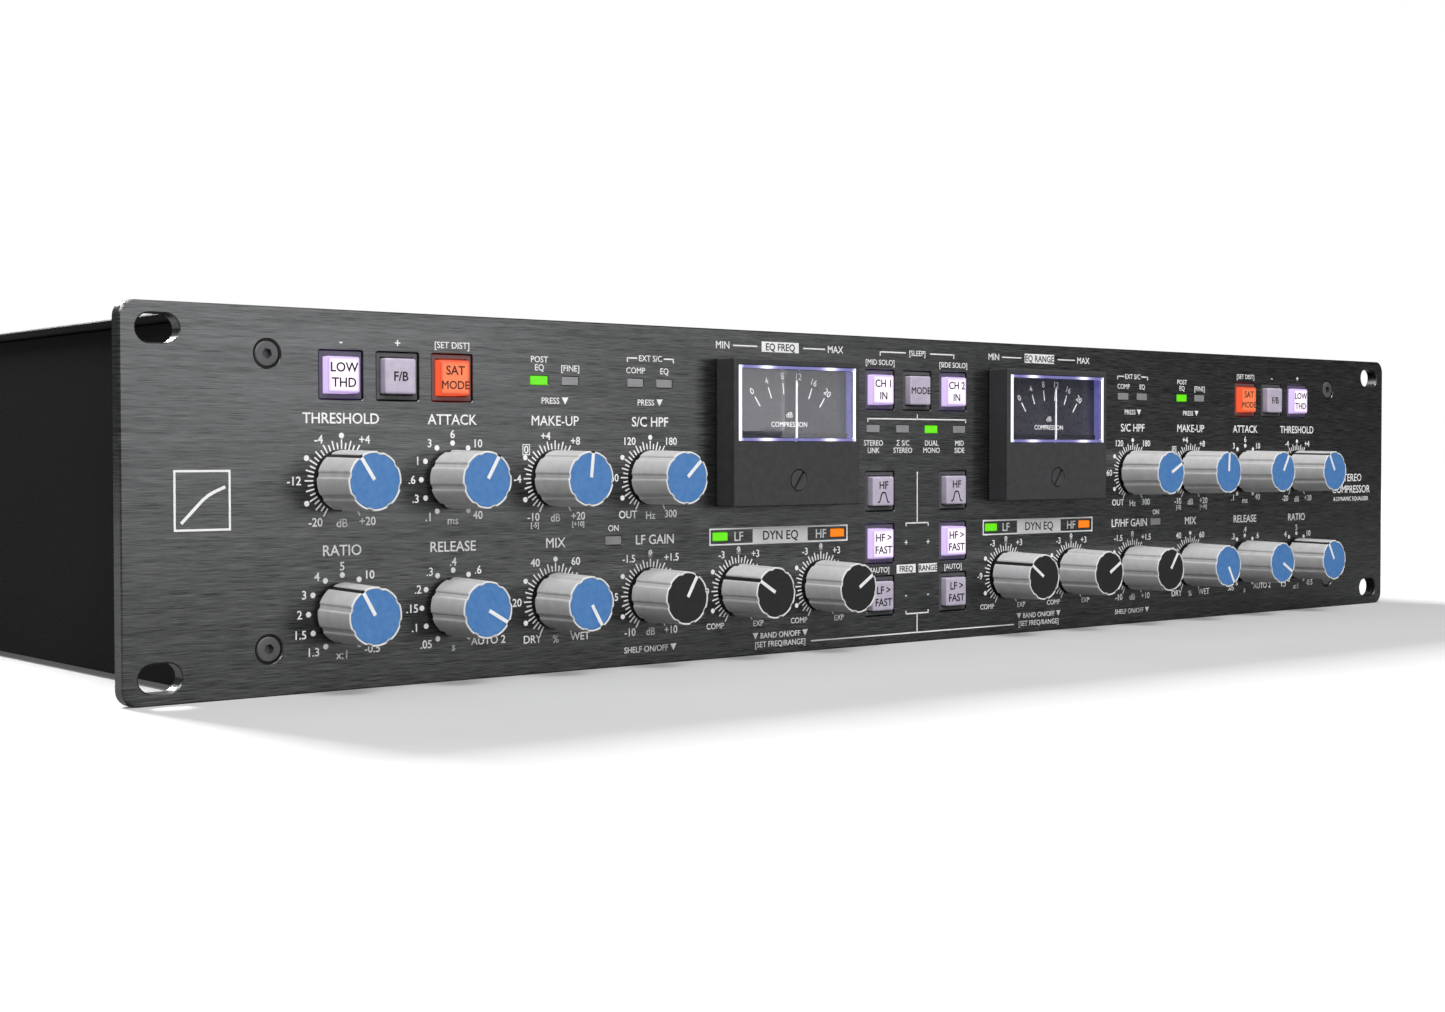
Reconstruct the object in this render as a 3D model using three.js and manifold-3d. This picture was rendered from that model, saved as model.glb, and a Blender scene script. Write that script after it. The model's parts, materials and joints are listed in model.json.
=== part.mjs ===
// A two-channel rack compressor, two rack units high. Each channel has ten rotary controls, a row
// of lit push buttons, status lamps and a moving-coil meter, and the right channel mirrors the left.
// Sizes are in millimetres. The controls are laid out from the centre of the front panel's face,
// with X to the right, Y into the unit and Z up. The finished unit stands on its origin.
import * as THREE from 'three';
import { mergeVertices } from 'three/addons/utils/BufferGeometryUtils.js';
import Module from 'manifold-3d';

const wasm = await Module();
wasm.setup();

// ---- Fits -------------------------------------------------------------------------------------
const SEAT = 0.3; // gap between two pieces that seat on each other
const RUN = 0.3; // running gap around a piece that moves
const CUT = 1; // how far a cutting tool runs past a face

// ---- Front panel ------------------------------------------------------------------------------
const PANEL_WIDTH = 482.6;
const PANEL_HEIGHT = 88.1;
const PANEL_THICKNESS = 4;
const PANEL_CORNER = 3.8;
const EAR = 21.3; // panel width beyond the chassis on each side
const RACK_SLOT_LENGTH = 10.1;
const RACK_SLOT_HEIGHT = 6.4;
const RACK_SLOT_INSET = 8.75; // from the panel's end to a slot's centre
const RACK_SLOT_SPACING = 76.2;
const PANEL_SCREW_RADIUS = 2;
const PANEL_SCREW_INSET = 13.4; // from the chassis side to a screw
const PANEL_SCREW_Z = 33.35;

// ---- Chassis ----------------------------------------------------------------------------------
const CHASSIS_DEPTH = 298;
const SHEET = 1.5; // tray sheet
const COVER_THICKNESS = 2.1;
const COVER_OVERHANG = 1; // cover beyond the tray's side wall
const COVER_TOP = 43.2;
const TRAY_BOTTOM = -42.5;
const REAR_THICKNESS = 2;
const FRONT_FLANGE = 22;
const EDGE_FLANGE = 12;
const FOOT_RADIUS = 8;
const FOOT_INSET_X = 30;
const FOOT_INSET_Y = 35;
const STANDOFF_RADIUS = 3;
const STANDOFF_HEIGHT = 6;
const COVER_SCREW_RADIUS = 1.7;
const SCREW_EDGE = 6; // from a sheet's edge to its screws
const VENT_WIDTH = 3;
const VENT_HEIGHT = 26;
const VENT_PITCH = 7;
const VENT_COUNT = 9;
const VENT_X = -88; // middle of the vent row
const VENT_Z = 14;

// ---- Rotary controls --------------------------------------------------------------------------
const INNER_COLUMN = 38; // from the panel's middle to the nearest column of knobs
const COLUMN_PITCH = 30;
const COLUMNS = 6;
const UPPER_ROW = 4.6;
const LOWER_ROW = -26;
const KNOB_FRONT_RADIUS = 6.8;
const KNOB_BASE_RADIUS = 7.1;
const KNOB_LENGTH = 14.4;
const KNOB_LIFT = 1; // gap behind a knob
const POINTER_WIDTH = 0.9;
const POINTER_DEPTH = 0.4;
const SPINDLE_RADIUS = 3;
const SPINDLE_REACH = 7; // length of spindle behind the panel
const SPINDLE_HOLE_GAP = 0.5;
const POT_WIDTH = 12;
const POT_DEPTH = 10;
const POT_LIFT = 0.6; // from the panel's back to the pot
const PLUNGER_RADIUS = 2.2;
const PLUNGER_LENGTH = 1.8;
const PUSH_TRAVEL = 0.5;

// ---- Push buttons -----------------------------------------------------------------------------
const BUTTON_SIZE = 8.4;
const BUTTON_PROUD = 1.5;
const BUTTON_DEPTH = 7;
const BUTTON_TRAVEL = 1;
const STEM_SIZE = 4;
const STEM_LENGTH = 3.5;
const BEZEL_WALL = 1;
const BEZEL_SET_BACK = 0.5; // bezel behind the panel's face

// ---- Status lamps -----------------------------------------------------------------------------
const LAMP_WIDTH = 5.4;
const LAMP_HEIGHT = 2.45;
const LAMP_SET_BACK = 0.2;

// ---- Meters -----------------------------------------------------------------------------------
const METER_X = 53;
const METER_Z = 16.35; // middle of the housing
const METER_WIDTH = 45.6;
const METER_HEIGHT = 39.5;
const METER_PROUD = 7.7;
const METER_WALL = 0.8; // front wall below the window
const WINDOW_WIDTH = 42.4;
const WINDOW_HEIGHT = 20.4;
const WINDOW_TOP_INSET = 1.7;
const DIAL_DEPTH = 3.9; // from the housing's face to the scale plate
const BARREL_WIDTH = 40;
const BARREL_HEIGHT = 32;
const BARREL_DEPTH = 18; // behind the panel
const BARREL_WALL = 1.6;
const PIVOT_Z = 8.6;
const NEEDLE_REACH = 22;
const NEEDLE_WIDTH = 0.8;
const NEEDLE_THICKNESS = 0.4;
const HUB_RADIUS = 1.4;
const HUB_LENGTH = 2.5;
const ARBOR_RADIUS = 0.7;
const ARBOR_LENGTH = 1.8;
const ZERO_Z = 3.5;
const ZERO_RADIUS = 2.75;
const ZERO_HEAD = 1.7;
const ZERO_SLOT = 0.8;
const ZERO_SLOT_DEPTH = 0.7;
const ZERO_SHANK_RADIUS = 1.2;
const ZERO_SHANK = 1.4;
const ZERO_TURN = 36; // degrees, clockwise

// ---- Boards and rear sockets ------------------------------------------------------------------
const BOARD = 1.6; // circuit board thickness
const CONTROL_BOARD_HEIGHT = 78;
const CONTROL_BOARD_MARGIN = 10; // board beyond the outer column's middle
const HEADER_SIZE = 8;
const HEADER_LENGTH = 50;
const MAIN_BOARD_LEFT = -50;
const MAIN_BOARD_RIGHT = 204;
const MAIN_BOARD_DEPTH = 200;
const SOCKET_RADIUS = 11.7;
const SOCKET_BLOCK_WIDTH = 26;
const SOCKET_BLOCK_HEIGHT = 30;
const SOCKET_BLOCK_DEPTH = 22;
const SOCKET_PROUD = 0.5; // socket's face beyond the rear panel's
const SOCKET_CAVITY_RADIUS = 8.1;
const SOCKET_CAVITY_DEPTH = 12;
const PIN_RADIUS = 1.2;
const PIN_CIRCLE = 4.1;
const PIN_SET_BACK = 2; // pin tips below the socket's face
const CONTACT_RADIUS = 1.6; // contact holes in an input socket
const INPUT_SOCKETS = [182, 146];
const OUTPUT_SOCKETS = [102, 66];
const JACK_SOCKETS = [26, -4];
const JACK_RADIUS = 5.5;
const JACK_BORE = 3.3;
const JACK_BORE_DEPTH = 26;
const JACK_BLOCK = 16;
const RELAY_X = 100;
const RELAY_PITCH = 30;
const RELAY_LENGTH = 20;
const RELAY_HEIGHT = 10;
const JACK_PROUD = 3;
const SOCKET_Z = -16;

// ---- Mains side -------------------------------------------------------------------------------
const SUPPLY_X = -140;
const SUPPLY_WIDTH = 110;
const SUPPLY_DEPTH = 150;
const SUPPLY_REAR_ROOM = 60; // from the rear panel to the supply board
const TALL_PARTS = 36; // height of the supply's tall parts
const TRANSFORMER_LENGTH = 42;
const SINK_START = 14; // from the supply board's front edge to its heat sink
const SINK_WIDTH = 18;
const SINK_FIN = 6; // heat sink fin, and the channel beside it
const SINK_FINS = 6;
const CAPACITOR_RADIUS = 11;
const INLET_X = -170;
const INLET_Z = -12;
const INLET_FLANGE_WIDTH = 58;
const INLET_FLANGE_HEIGHT = 30;
const INLET_FLANGE = 2;
const INLET_BODY_WIDTH = 50;
const INLET_BODY_HEIGHT = 24;
const INLET_BODY_DEPTH = 24;
const INLET_CAVITY_WIDTH = 24.4;
const INLET_CAVITY_HEIGHT = 16.6;
const INLET_CAVITY_DEPTH = 17;
const INLET_CAVITY_SHIFT = 9.5; // cavity's middle from the flange's middle
const BLADE_WIDTH = 2;
const BLADE_HEIGHT = 4;
const BLADE_SPREAD = 7;
const BLADE_RISE = 2;
const ROCKER_WIDTH = 13;
const ROCKER_HEIGHT = 18;
const ROCKER_DEPTH = 9;
const ROCKER_FOOT = 14; // length of the rocker's inner end
const ROCKER_PROUD = 1.2;
const ROCKER_TILT = 9; // degrees each side of level
const ROCKER_SHIFT = -15; // rocker's middle from the flange's middle

// ---- Worked-out places ------------------------------------------------------------------------
const CHASSIS_HALF = PANEL_WIDTH / 2 - EAR;
const PANEL_BACK = PANEL_THICKNESS;
const TRAY_FRONT = PANEL_BACK + SEAT;
const TRAY_REAR = TRAY_FRONT + CHASSIS_DEPTH;
const REAR_INNER = TRAY_REAR + SEAT;
const REAR_FACE = REAR_INNER + REAR_THICKNESS;
const COVER_BOTTOM = COVER_TOP - COVER_THICKNESS;
const TRAY_TOP = COVER_BOTTOM - SEAT;
const FLOOR_TOP = TRAY_BOTTOM + SHEET;
const PANEL_BOTTOM = -PANEL_HEIGHT / 2;
const KNOB_FRONT = -(KNOB_LIFT + KNOB_LENGTH);
const SPINDLE_END = PANEL_BACK + SPINDLE_REACH;
const POT_FRONT = PANEL_BACK + POT_LIFT;
const BOARD_FRONT = POT_FRONT + POT_DEPTH;
const PLUNGER_FRONT = SPINDLE_END + SEAT;
const PLUNGER_END = PLUNGER_FRONT + PLUNGER_LENGTH;
const BUTTON_BACK = BUTTON_DEPTH - BUTTON_PROUD;
const WELL_FLOOR = BUTTON_BACK + BUTTON_TRAVEL + RUN;
const STEM_END = BUTTON_BACK + STEM_LENGTH;
const BEZEL_SIZE = BUTTON_SIZE + 2 * RUN + 2 * BEZEL_WALL;
const CUTOUT_SIZE = BEZEL_SIZE + 2 * SEAT;
const OUTER_COLUMN = INNER_COLUMN + COLUMN_PITCH * (COLUMNS - 1);
const MAIN_BOARD_Z = FLOOR_TOP + STANDOFF_HEIGHT + SEAT;
const MAIN_BOARD_REAR = REAR_INNER - SEAT - SHEET - 1;
const SUPPLY_REAR = REAR_INNER - SUPPLY_REAR_ROOM;
const FLANGE_BACK = REAR_FACE + SEAT;
const INLET_FACE = FLANGE_BACK + INLET_FLANGE;
const JACK_FACE = REAR_FACE + JACK_PROUD;

// Rotary controls of one channel: column counted outwards from the middle, row, pointer angle at
// rest in degrees clockwise from straight up (channel 1, channel 2), and whether it also pushes.
const CONTROLS = [
  { name: 'threshold', columns: [5, 5], row: UPPER_ROW, rest: [-33.5, -29], push: false },
  { name: 'attack', columns: [4, 4], row: UPPER_ROW, rest: [30, 30], push: false },
  { name: 'makeup', columns: [3, 3], row: UPPER_ROW, rest: [5.7, 3], push: true },
  { name: 'sidechain_filter', columns: [2, 2], row: UPPER_ROW, rest: [46.5, 62.6], push: true },
  { name: 'ratio', columns: [5, 5], row: LOWER_ROW, rest: [-30, -30], push: false },
  { name: 'release', columns: [4, 4], row: LOWER_ROW, rest: [120, 120], push: false },
  { name: 'mix', columns: [3, 3], row: LOWER_ROW, rest: [150, 150], push: false },
  { name: 'band_gain', columns: [2, 2], row: LOWER_ROW, rest: [30, 35], push: true },
  { name: 'low_band', columns: [1, 0], row: LOWER_ROW, rest: [-58, -55], push: true },
  { name: 'high_band', columns: [0, 1], row: LOWER_ROW, rest: [57, 59.6], push: true },
];

const BUTTON_ROW = 29; // height of the top row of buttons and lamps
const MODE_X = 15; // columns of the middle buttons
const BUTTONS = [
  { name: 'low_distortion_1', x: -188, z: BUTTON_ROW },
  { name: 'feedback_1', x: -173, z: BUTTON_ROW },
  { name: 'drive_1', x: -158, z: BUTTON_ROW },
  { name: 'channel_in_1', x: -MODE_X, z: BUTTON_ROW },
  { name: 'mode_select', x: 0, z: BUTTON_ROW },
  { name: 'channel_in_2', x: MODE_X, z: BUTTON_ROW },
  { name: 'drive_2', x: 158, z: BUTTON_ROW },
  { name: 'feedback_2', x: 173, z: BUTTON_ROW },
  { name: 'low_distortion_2', x: 188, z: BUTTON_ROW },
  { name: 'high_bell_1', x: -MODE_X, z: 0 },
  { name: 'high_bell_2', x: MODE_X, z: 0 },
  { name: 'high_fast_1', x: -MODE_X, z: -15 },
  { name: 'high_fast_2', x: MODE_X, z: -15 },
  { name: 'low_fast_1', x: -MODE_X, z: -30 },
  { name: 'low_fast_2', x: MODE_X, z: -30 },
];

const MODE_LAMP_ROW = 17.85;
const BAND_LAMP_ROW = -11.5;
const LAMPS = [
  ...[-132.7, -123.3, -102.7, -93.3, 93.3, 102.7, 123.3, 132.7].map((x) => ({ x, z: BUTTON_ROW })),
  ...[-17.65, -5.88, 5.88, 17.65].map((x) => ({ x, z: MODE_LAMP_ROW })),
  ...[-109.9, -74.3, -31.6, 31.6, 74.3, 109.9].map((x) => ({ x, z: BAND_LAMP_ROW })),
];

// ---- Finishes ---------------------------------------------------------------------------------
const finish = (color, roughness, metalness) => ({ color, roughness, metalness });
const ANODISED = finish(0x3c3c3d, 0.45, 0.8);
const POWDER_COAT = finish(0x232324, 0.6, 0.2);
const KNOB_GREY = finish(0xb4b5b8, 0.5, 0);
const METER_BLACK = finish(0x333333, 0.7, 0);
const LIT_WHITE = finish(0xfff0ff, 0.4, 0);
const LIT_ORANGE = finish(0xff7a45, 0.4, 0);
const UNLIT_LILAC = finish(0xc8bcd0, 0.4, 0);
const BOARD_GREEN = finish(0x1f4a2c, 0.6, 0);
const BLACK_PLASTIC = finish(0x161616, 0.5, 0);
const STEEL = finish(0x9a9a9a, 0.35, 1);
const SUPPLY_METAL = finish(0x7f8286, 0.5, 0.8);
const LIT_BUTTONS = ['low_distortion_1', 'low_distortion_2', 'channel_in_1', 'channel_in_2',
  'high_fast_1', 'high_fast_2'];
const ORANGE_BUTTONS = ['drive_1', 'drive_2'];

// ---- Solids -----------------------------------------------------------------------------------

/** The closed solid of a three.js geometry, with its shared corners merged. */
function solid(geometry) {
  const bare = geometry.clone();
  bare.deleteAttribute('normal');
  bare.deleteAttribute('uv');
  const merged = mergeVertices(bare, 1e-4);
  const corners = [];
  const index = merged.index.array;
  for (let i = 0; i < index.length; i += 3) {
    const [a, b, c] = [index[i], index[i + 1], index[i + 2]];
    if (a !== b && b !== c && c !== a) corners.push(a, b, c);
  }
  return new wasm.Manifold(new wasm.Mesh({
    numProp: 3,
    vertProperties: new Float32Array(merged.attributes.position.array),
    triVerts: new Uint32Array(corners),
  }));
}

/** A solid's faces as a three.js geometry. */
function geometryOf(body) {
  const mesh = body.getMesh();
  const geometry = new THREE.BufferGeometry();
  geometry.setAttribute('position', new THREE.BufferAttribute(mesh.vertProperties, 3));
  geometry.setIndex(new THREE.BufferAttribute(mesh.triVerts, 1));
  geometry.computeVertexNormals();
  return geometry;
}

/** A box between two corners. */
function block([x0, x1], [y0, y1], [z0, z1]) {
  const box = new THREE.BoxGeometry(x1 - x0, y1 - y0, z1 - z0);
  return solid(box.translate((x0 + x1) / 2, (y0 + y1) / 2, (z0 + z1) / 2));
}

/** A box centred on (x, z), running from y0 to y1. */
function bar(x, z, width, height, y0, y1) {
  return block([x - width / 2, x + width / 2], [y0, y1], [z - height / 2, z + height / 2]);
}

/** A round rod along Y from y0 to y1, centred on (x, z). */
function rod(x, z, radius, y0, y1, sides = 16) {
  const cylinder = new THREE.CylinderGeometry(radius, radius, y1 - y0, sides);
  return solid(cylinder.translate(x, (y0 + y1) / 2, z));
}

/** A round post along Z from z0 to z1, centred on (x, y). */
function post(x, y, radius, z0, z1, sides = 16) {
  const cylinder = new THREE.CylinderGeometry(radius, radius, z1 - z0, sides);
  return solid(cylinder.rotateX(Math.PI / 2).translate(x, y, (z0 + z1) / 2));
}

/** A solid turned about Y from a profile of [radius, y] points. */
function turned(points, sides = 20) {
  return solid(new THREE.LatheGeometry(points.map(([r, y]) => new THREE.Vector2(r, y)), sides));
}

const join = (bodies) => bodies.reduce((sum, body) => sum.add(body));
const cut = (body, tools) => body.subtract(join(tools));

/** A rectangle's outline, with round corners where a radius is given. */
function rectangle(x, z, width, height, radius = 0) {
  const path = new THREE.Shape();
  const [left, right] = [x - width / 2, x + width / 2];
  const [bottom, top] = [z - height / 2, z + height / 2];
  path.moveTo(left + radius, bottom);
  path.lineTo(right - radius, bottom);
  if (radius) path.absarc(right - radius, bottom + radius, radius, -Math.PI / 2, 0);
  path.lineTo(right, top - radius);
  if (radius) path.absarc(right - radius, top - radius, radius, 0, Math.PI / 2);
  path.lineTo(left + radius, top);
  if (radius) path.absarc(left + radius, top - radius, radius, Math.PI / 2, Math.PI);
  path.lineTo(left, bottom + radius);
  if (radius) path.absarc(left + radius, bottom + radius, radius, Math.PI, Math.PI * 1.5);
  return path;
}

/** An outline in the XZ plane, made solid from y0 to y1, with four steps to a quarter turn. */
function extruded(outline, y0, y1) {
  const settings = { depth: y1 - y0, bevelEnabled: false, curveSegments: 2 };
  return solid(new THREE.ExtrudeGeometry(outline, settings).rotateX(Math.PI / 2).translate(0, y1, 0));
}

/** A tool for a slot with round ends, from y0 to y1. */
function slot(x, z, width, height, y0, y1) {
  return extruded(rectangle(x, z, width, height, Math.min(width, height) / 2 - 1e-3), y0, y1);
}

/** A named mesh in its own material. */
function piece(name, body, { color, roughness, metalness }) {
  const material = new THREE.MeshStandardMaterial({ color, roughness, metalness });
  const mesh = new THREE.Mesh(geometryOf(body), material);
  mesh.name = name;
  return mesh;
}

const bothSides = (values) => values.flatMap((value) => [-value, value]);
const columnX = (column, channel) => (channel === 1 ? -1 : 1) * (INNER_COLUMN + COLUMN_PITCH * column);

/** Every rotary control of both channels, with its place. */
const controls = CONTROLS.flatMap((control) => [1, 2].map((channel) => ({
  ...control,
  label: `${control.name}_${channel}`,
  x: columnX(control.columns[channel - 1], channel),
  z: control.row,
  turn: control.rest[channel - 1],
})));

// ---- Front panel ------------------------------------------------------------------------------

/** The anodised front panel, with its ears, slots and cut-outs. */
function frontPanel() {
  const through = [-CUT, PANEL_BACK + CUT];
  const slots = bothSides([PANEL_WIDTH / 2 - RACK_SLOT_INSET]).flatMap((x) => bothSides(
    [RACK_SLOT_SPACING / 2]).map((z) => slot(x, z, RACK_SLOT_LENGTH, RACK_SLOT_HEIGHT, ...through)));
  const screws = bothSides([CHASSIS_HALF - PANEL_SCREW_INSET]).flatMap((x) => bothSides(
    [PANEL_SCREW_Z]).map((z) => rod(x, z, PANEL_SCREW_RADIUS, ...through)));
  const spindles = controls.map(({ x, z }) => rod(x, z, SPINDLE_RADIUS + SPINDLE_HOLE_GAP, ...through));
  const wells = BUTTONS.map(({ x, z }) => bar(x, z, CUTOUT_SIZE, CUTOUT_SIZE, ...through));
  const lamps = LAMPS.map(({ x, z }) => bar(x, z, LAMP_WIDTH, LAMP_HEIGHT, ...through));
  const meters = bothSides([METER_X]).map((x) => bar(x, METER_Z,
    BARREL_WIDTH + 2 * SEAT, BARREL_HEIGHT + 2 * SEAT, ...through));
  const outline = rectangle(0, 0, PANEL_WIDTH, PANEL_HEIGHT, PANEL_CORNER);
  const tools = [...slots, ...screws, ...spindles, ...wells, ...lamps, ...meters];
  return cut(extruded(outline, 0, PANEL_BACK), tools);
}

// ---- Chassis ----------------------------------------------------------------------------------

const standoffPlaces = [
  ...[MAIN_BOARD_LEFT + SCREW_EDGE, MAIN_BOARD_RIGHT - SCREW_EDGE].flatMap((x) => [
    { x, y: MAIN_BOARD_REAR - SCREW_EDGE },
    { x, y: MAIN_BOARD_REAR - MAIN_BOARD_DEPTH + SCREW_EDGE },
  ]),
  ...[-1, 1].flatMap((side) => [SUPPLY_REAR - SCREW_EDGE, SUPPLY_REAR - SUPPLY_DEPTH + SCREW_EDGE]
    .map((y) => ({ x: SUPPLY_X + side * (SUPPLY_WIDTH / 2 - SCREW_EDGE), y }))),
];

/** One side of the tray: its wall and the three flanges folded in from it. */
function traySide(side) {
  const span = (inner) => (side < 0 ? [-CHASSIS_HALF, -inner] : [inner, CHASSIS_HALF]);
  const height = [TRAY_BOTTOM, TRAY_TOP];
  const wall = block(span(CHASSIS_HALF - SHEET), [TRAY_FRONT, TRAY_REAR], height);
  const top = block(span(CHASSIS_HALF - EDGE_FLANGE), [TRAY_FRONT, TRAY_REAR], [TRAY_TOP - SHEET, TRAY_TOP]);
  const front = block(span(CHASSIS_HALF - FRONT_FLANGE), [TRAY_FRONT, TRAY_FRONT + SHEET], height);
  const rear = block(span(CHASSIS_HALF - EDGE_FLANGE), [TRAY_REAR - SHEET, TRAY_REAR], height);
  return join([wall, top, front, rear]);
}

/** The folded steel tray, with its pressed feet and board standoffs. */
function chassisTray() {
  const floor = block([-CHASSIS_HALF, CHASSIS_HALF], [TRAY_FRONT, TRAY_REAR], [TRAY_BOTTOM, FLOOR_TOP]);
  const feet = bothSides([CHASSIS_HALF - FOOT_INSET_X]).flatMap((x) => [
    TRAY_FRONT + FOOT_INSET_Y, TRAY_REAR - FOOT_INSET_Y,
  ].map((y) => post(x, y, FOOT_RADIUS, PANEL_BOTTOM, FLOOR_TOP - SHEET / 2)));
  const standoffs = standoffPlaces.map(({ x, y }) => post(x, y, STANDOFF_RADIUS,
    FLOOR_TOP - SHEET / 2, FLOOR_TOP + STANDOFF_HEIGHT, 10));
  const screws = bothSides([CHASSIS_HALF - PANEL_SCREW_INSET]).flatMap((x) => bothSides(
    [PANEL_SCREW_Z]).map((z) => rod(x, z, PANEL_SCREW_RADIUS, TRAY_FRONT - CUT, TRAY_FRONT + SHEET + CUT)));
  return cut(join([floor, traySide(-1), traySide(1), ...feet, ...standoffs]), screws);
}

/** The flat top cover, which overhangs the tray's sides, with its screw holes. */
function topCover() {
  const half = CHASSIS_HALF + COVER_OVERHANG;
  const sheet = block([-half, half], [TRAY_FRONT, REAR_FACE], [COVER_BOTTOM, COVER_TOP]);
  const middle = (TRAY_FRONT + REAR_FACE) / 2;
  const inset = 3 * SCREW_EDGE;
  const rows = [TRAY_FRONT + inset, middle, REAR_FACE - inset];
  const screws = bothSides([CHASSIS_HALF - SCREW_EDGE]).flatMap((x) => rows.map((y) => post(x, y,
    COVER_SCREW_RADIUS, COVER_BOTTOM - CUT, COVER_TOP + CUT, 12)));
  return cut(sheet, screws);
}

/** The rear panel, with its socket holes, inlet cut-out, vents and screw holes. */
function rearPanel() {
  const height = TRAY_TOP - TRAY_BOTTOM;
  const middle = (TRAY_TOP + TRAY_BOTTOM) / 2;
  const through = [REAR_INNER - CUT, REAR_FACE + CUT];
  const sockets = [...INPUT_SOCKETS, ...OUTPUT_SOCKETS].map((x) => rod(x, SOCKET_Z,
    SOCKET_RADIUS + SEAT, ...through, 24));
  const jacks = JACK_SOCKETS.map((x) => rod(x, SOCKET_Z, JACK_RADIUS + SEAT, ...through));
  const inlet = bar(INLET_X, INLET_Z, INLET_BODY_WIDTH + 2 * SEAT, INLET_BODY_HEIGHT + 2 * SEAT, ...through);
  const vents = Array.from({ length: VENT_COUNT }, (_, i) => slot(
    VENT_X + (i - (VENT_COUNT - 1) / 2) * VENT_PITCH, VENT_Z, VENT_WIDTH, VENT_HEIGHT, ...through));
  const screws = bothSides([CHASSIS_HALF - SCREW_EDGE]).flatMap((x) => bothSides(
    [height / 2 - 2 * SCREW_EDGE]).map((z) => rod(x, middle + z, COVER_SCREW_RADIUS, ...through, 12)));
  const sheet = bar(0, middle, 2 * CHASSIS_HALF, height, REAR_INNER, REAR_FACE);
  return cut(sheet, [...sockets, ...jacks, inlet, ...vents, ...screws]);
}

// ---- Controls ---------------------------------------------------------------------------------

/** A knob on its spindle, with the pointer groove down its side, pointing up. */
function knob() {
  const profile = [[0, KNOB_FRONT], [KNOB_FRONT_RADIUS, KNOB_FRONT], [KNOB_BASE_RADIUS, -KNOB_LIFT],
    [SPINDLE_RADIUS, -KNOB_LIFT], [SPINDLE_RADIUS, SPINDLE_END], [0, SPINDLE_END]];
  const groove = block([-POINTER_WIDTH / 2, POINTER_WIDTH / 2], [KNOB_FRONT - CUT, -KNOB_LIFT + CUT],
    [KNOB_FRONT_RADIUS - POINTER_DEPTH, KNOB_BASE_RADIUS + CUT]);
  return cut(turned(profile), [groove]);
}

/** The switch plunger behind a knob that also pushes. */
function plunger() {
  return rod(0, 0, PLUNGER_RADIUS, PLUNGER_FRONT, PLUNGER_END, 12);
}

/** A push button: its square cap and the stem behind it. */
function button() {
  const cap = bar(0, 0, BUTTON_SIZE, BUTTON_SIZE, -BUTTON_PROUD, BUTTON_BACK);
  return join([cap, bar(0, 0, STEM_SIZE, STEM_SIZE, BUTTON_BACK - CUT, STEM_END)]);
}

/** A control's body on the board, bored for its spindle, and for its plunger if it pushes. */
function potBody({ x, z, push }) {
  const floor = push ? PLUNGER_END + PUSH_TRAVEL + RUN : SPINDLE_END + PUSH_TRAVEL;
  const body = bar(x, z, POT_WIDTH, POT_WIDTH, POT_FRONT, BOARD_FRONT + BOARD / 2);
  return cut(body, [rod(x, z, SPINDLE_RADIUS + RUN, POT_FRONT - CUT, floor)]);
}

/** A button's switch body, whose rim shows as a bezel around the cap. */
function switchBody({ x, z }) {
  const well = BUTTON_SIZE + 2 * RUN;
  const guide = STEM_SIZE + 2 * RUN;
  const body = bar(x, z, BEZEL_SIZE, BEZEL_SIZE, BEZEL_SET_BACK, BOARD_FRONT + BOARD / 2);
  return cut(body, [
    bar(x, z, well, well, -CUT, WELL_FLOOR),
    bar(x, z, guide, guide, WELL_FLOOR - CUT, STEM_END + BUTTON_TRAVEL + RUN),
  ]);
}

/** The board behind the front panel, with its pots, switches and lamps. */
function controlBoard() {
  const half = OUTER_COLUMN + CONTROL_BOARD_MARGIN;
  const back = BOARD_FRONT + BOARD;
  const board = bar(0, 0, 2 * half, CONTROL_BOARD_HEIGHT, BOARD_FRONT, back);
  const meters = bothSides([METER_X]).map((x) => bar(x, METER_Z, BARREL_WIDTH + 4 * SEAT,
    BARREL_HEIGHT + 4 * SEAT, BOARD_FRONT - CUT, back + CUT));
  const lamps = LAMPS.map(({ x, z }) => bar(x, z, LAMP_WIDTH - 2 * SEAT, LAMP_HEIGHT - 2 * SEAT,
    LAMP_SET_BACK, BOARD_FRONT + BOARD / 2));
  const header = bar(0, -CONTROL_BOARD_HEIGHT / 2 + HEADER_SIZE, HEADER_LENGTH, HEADER_SIZE,
    back - BOARD / 2, back + HEADER_SIZE);
  const bodies = [...controls.map(potBody), ...BUTTONS.map(switchBody), ...lamps, header];
  return join([cut(board, meters), ...bodies]);
}

// ---- Meters -----------------------------------------------------------------------------------

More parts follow.
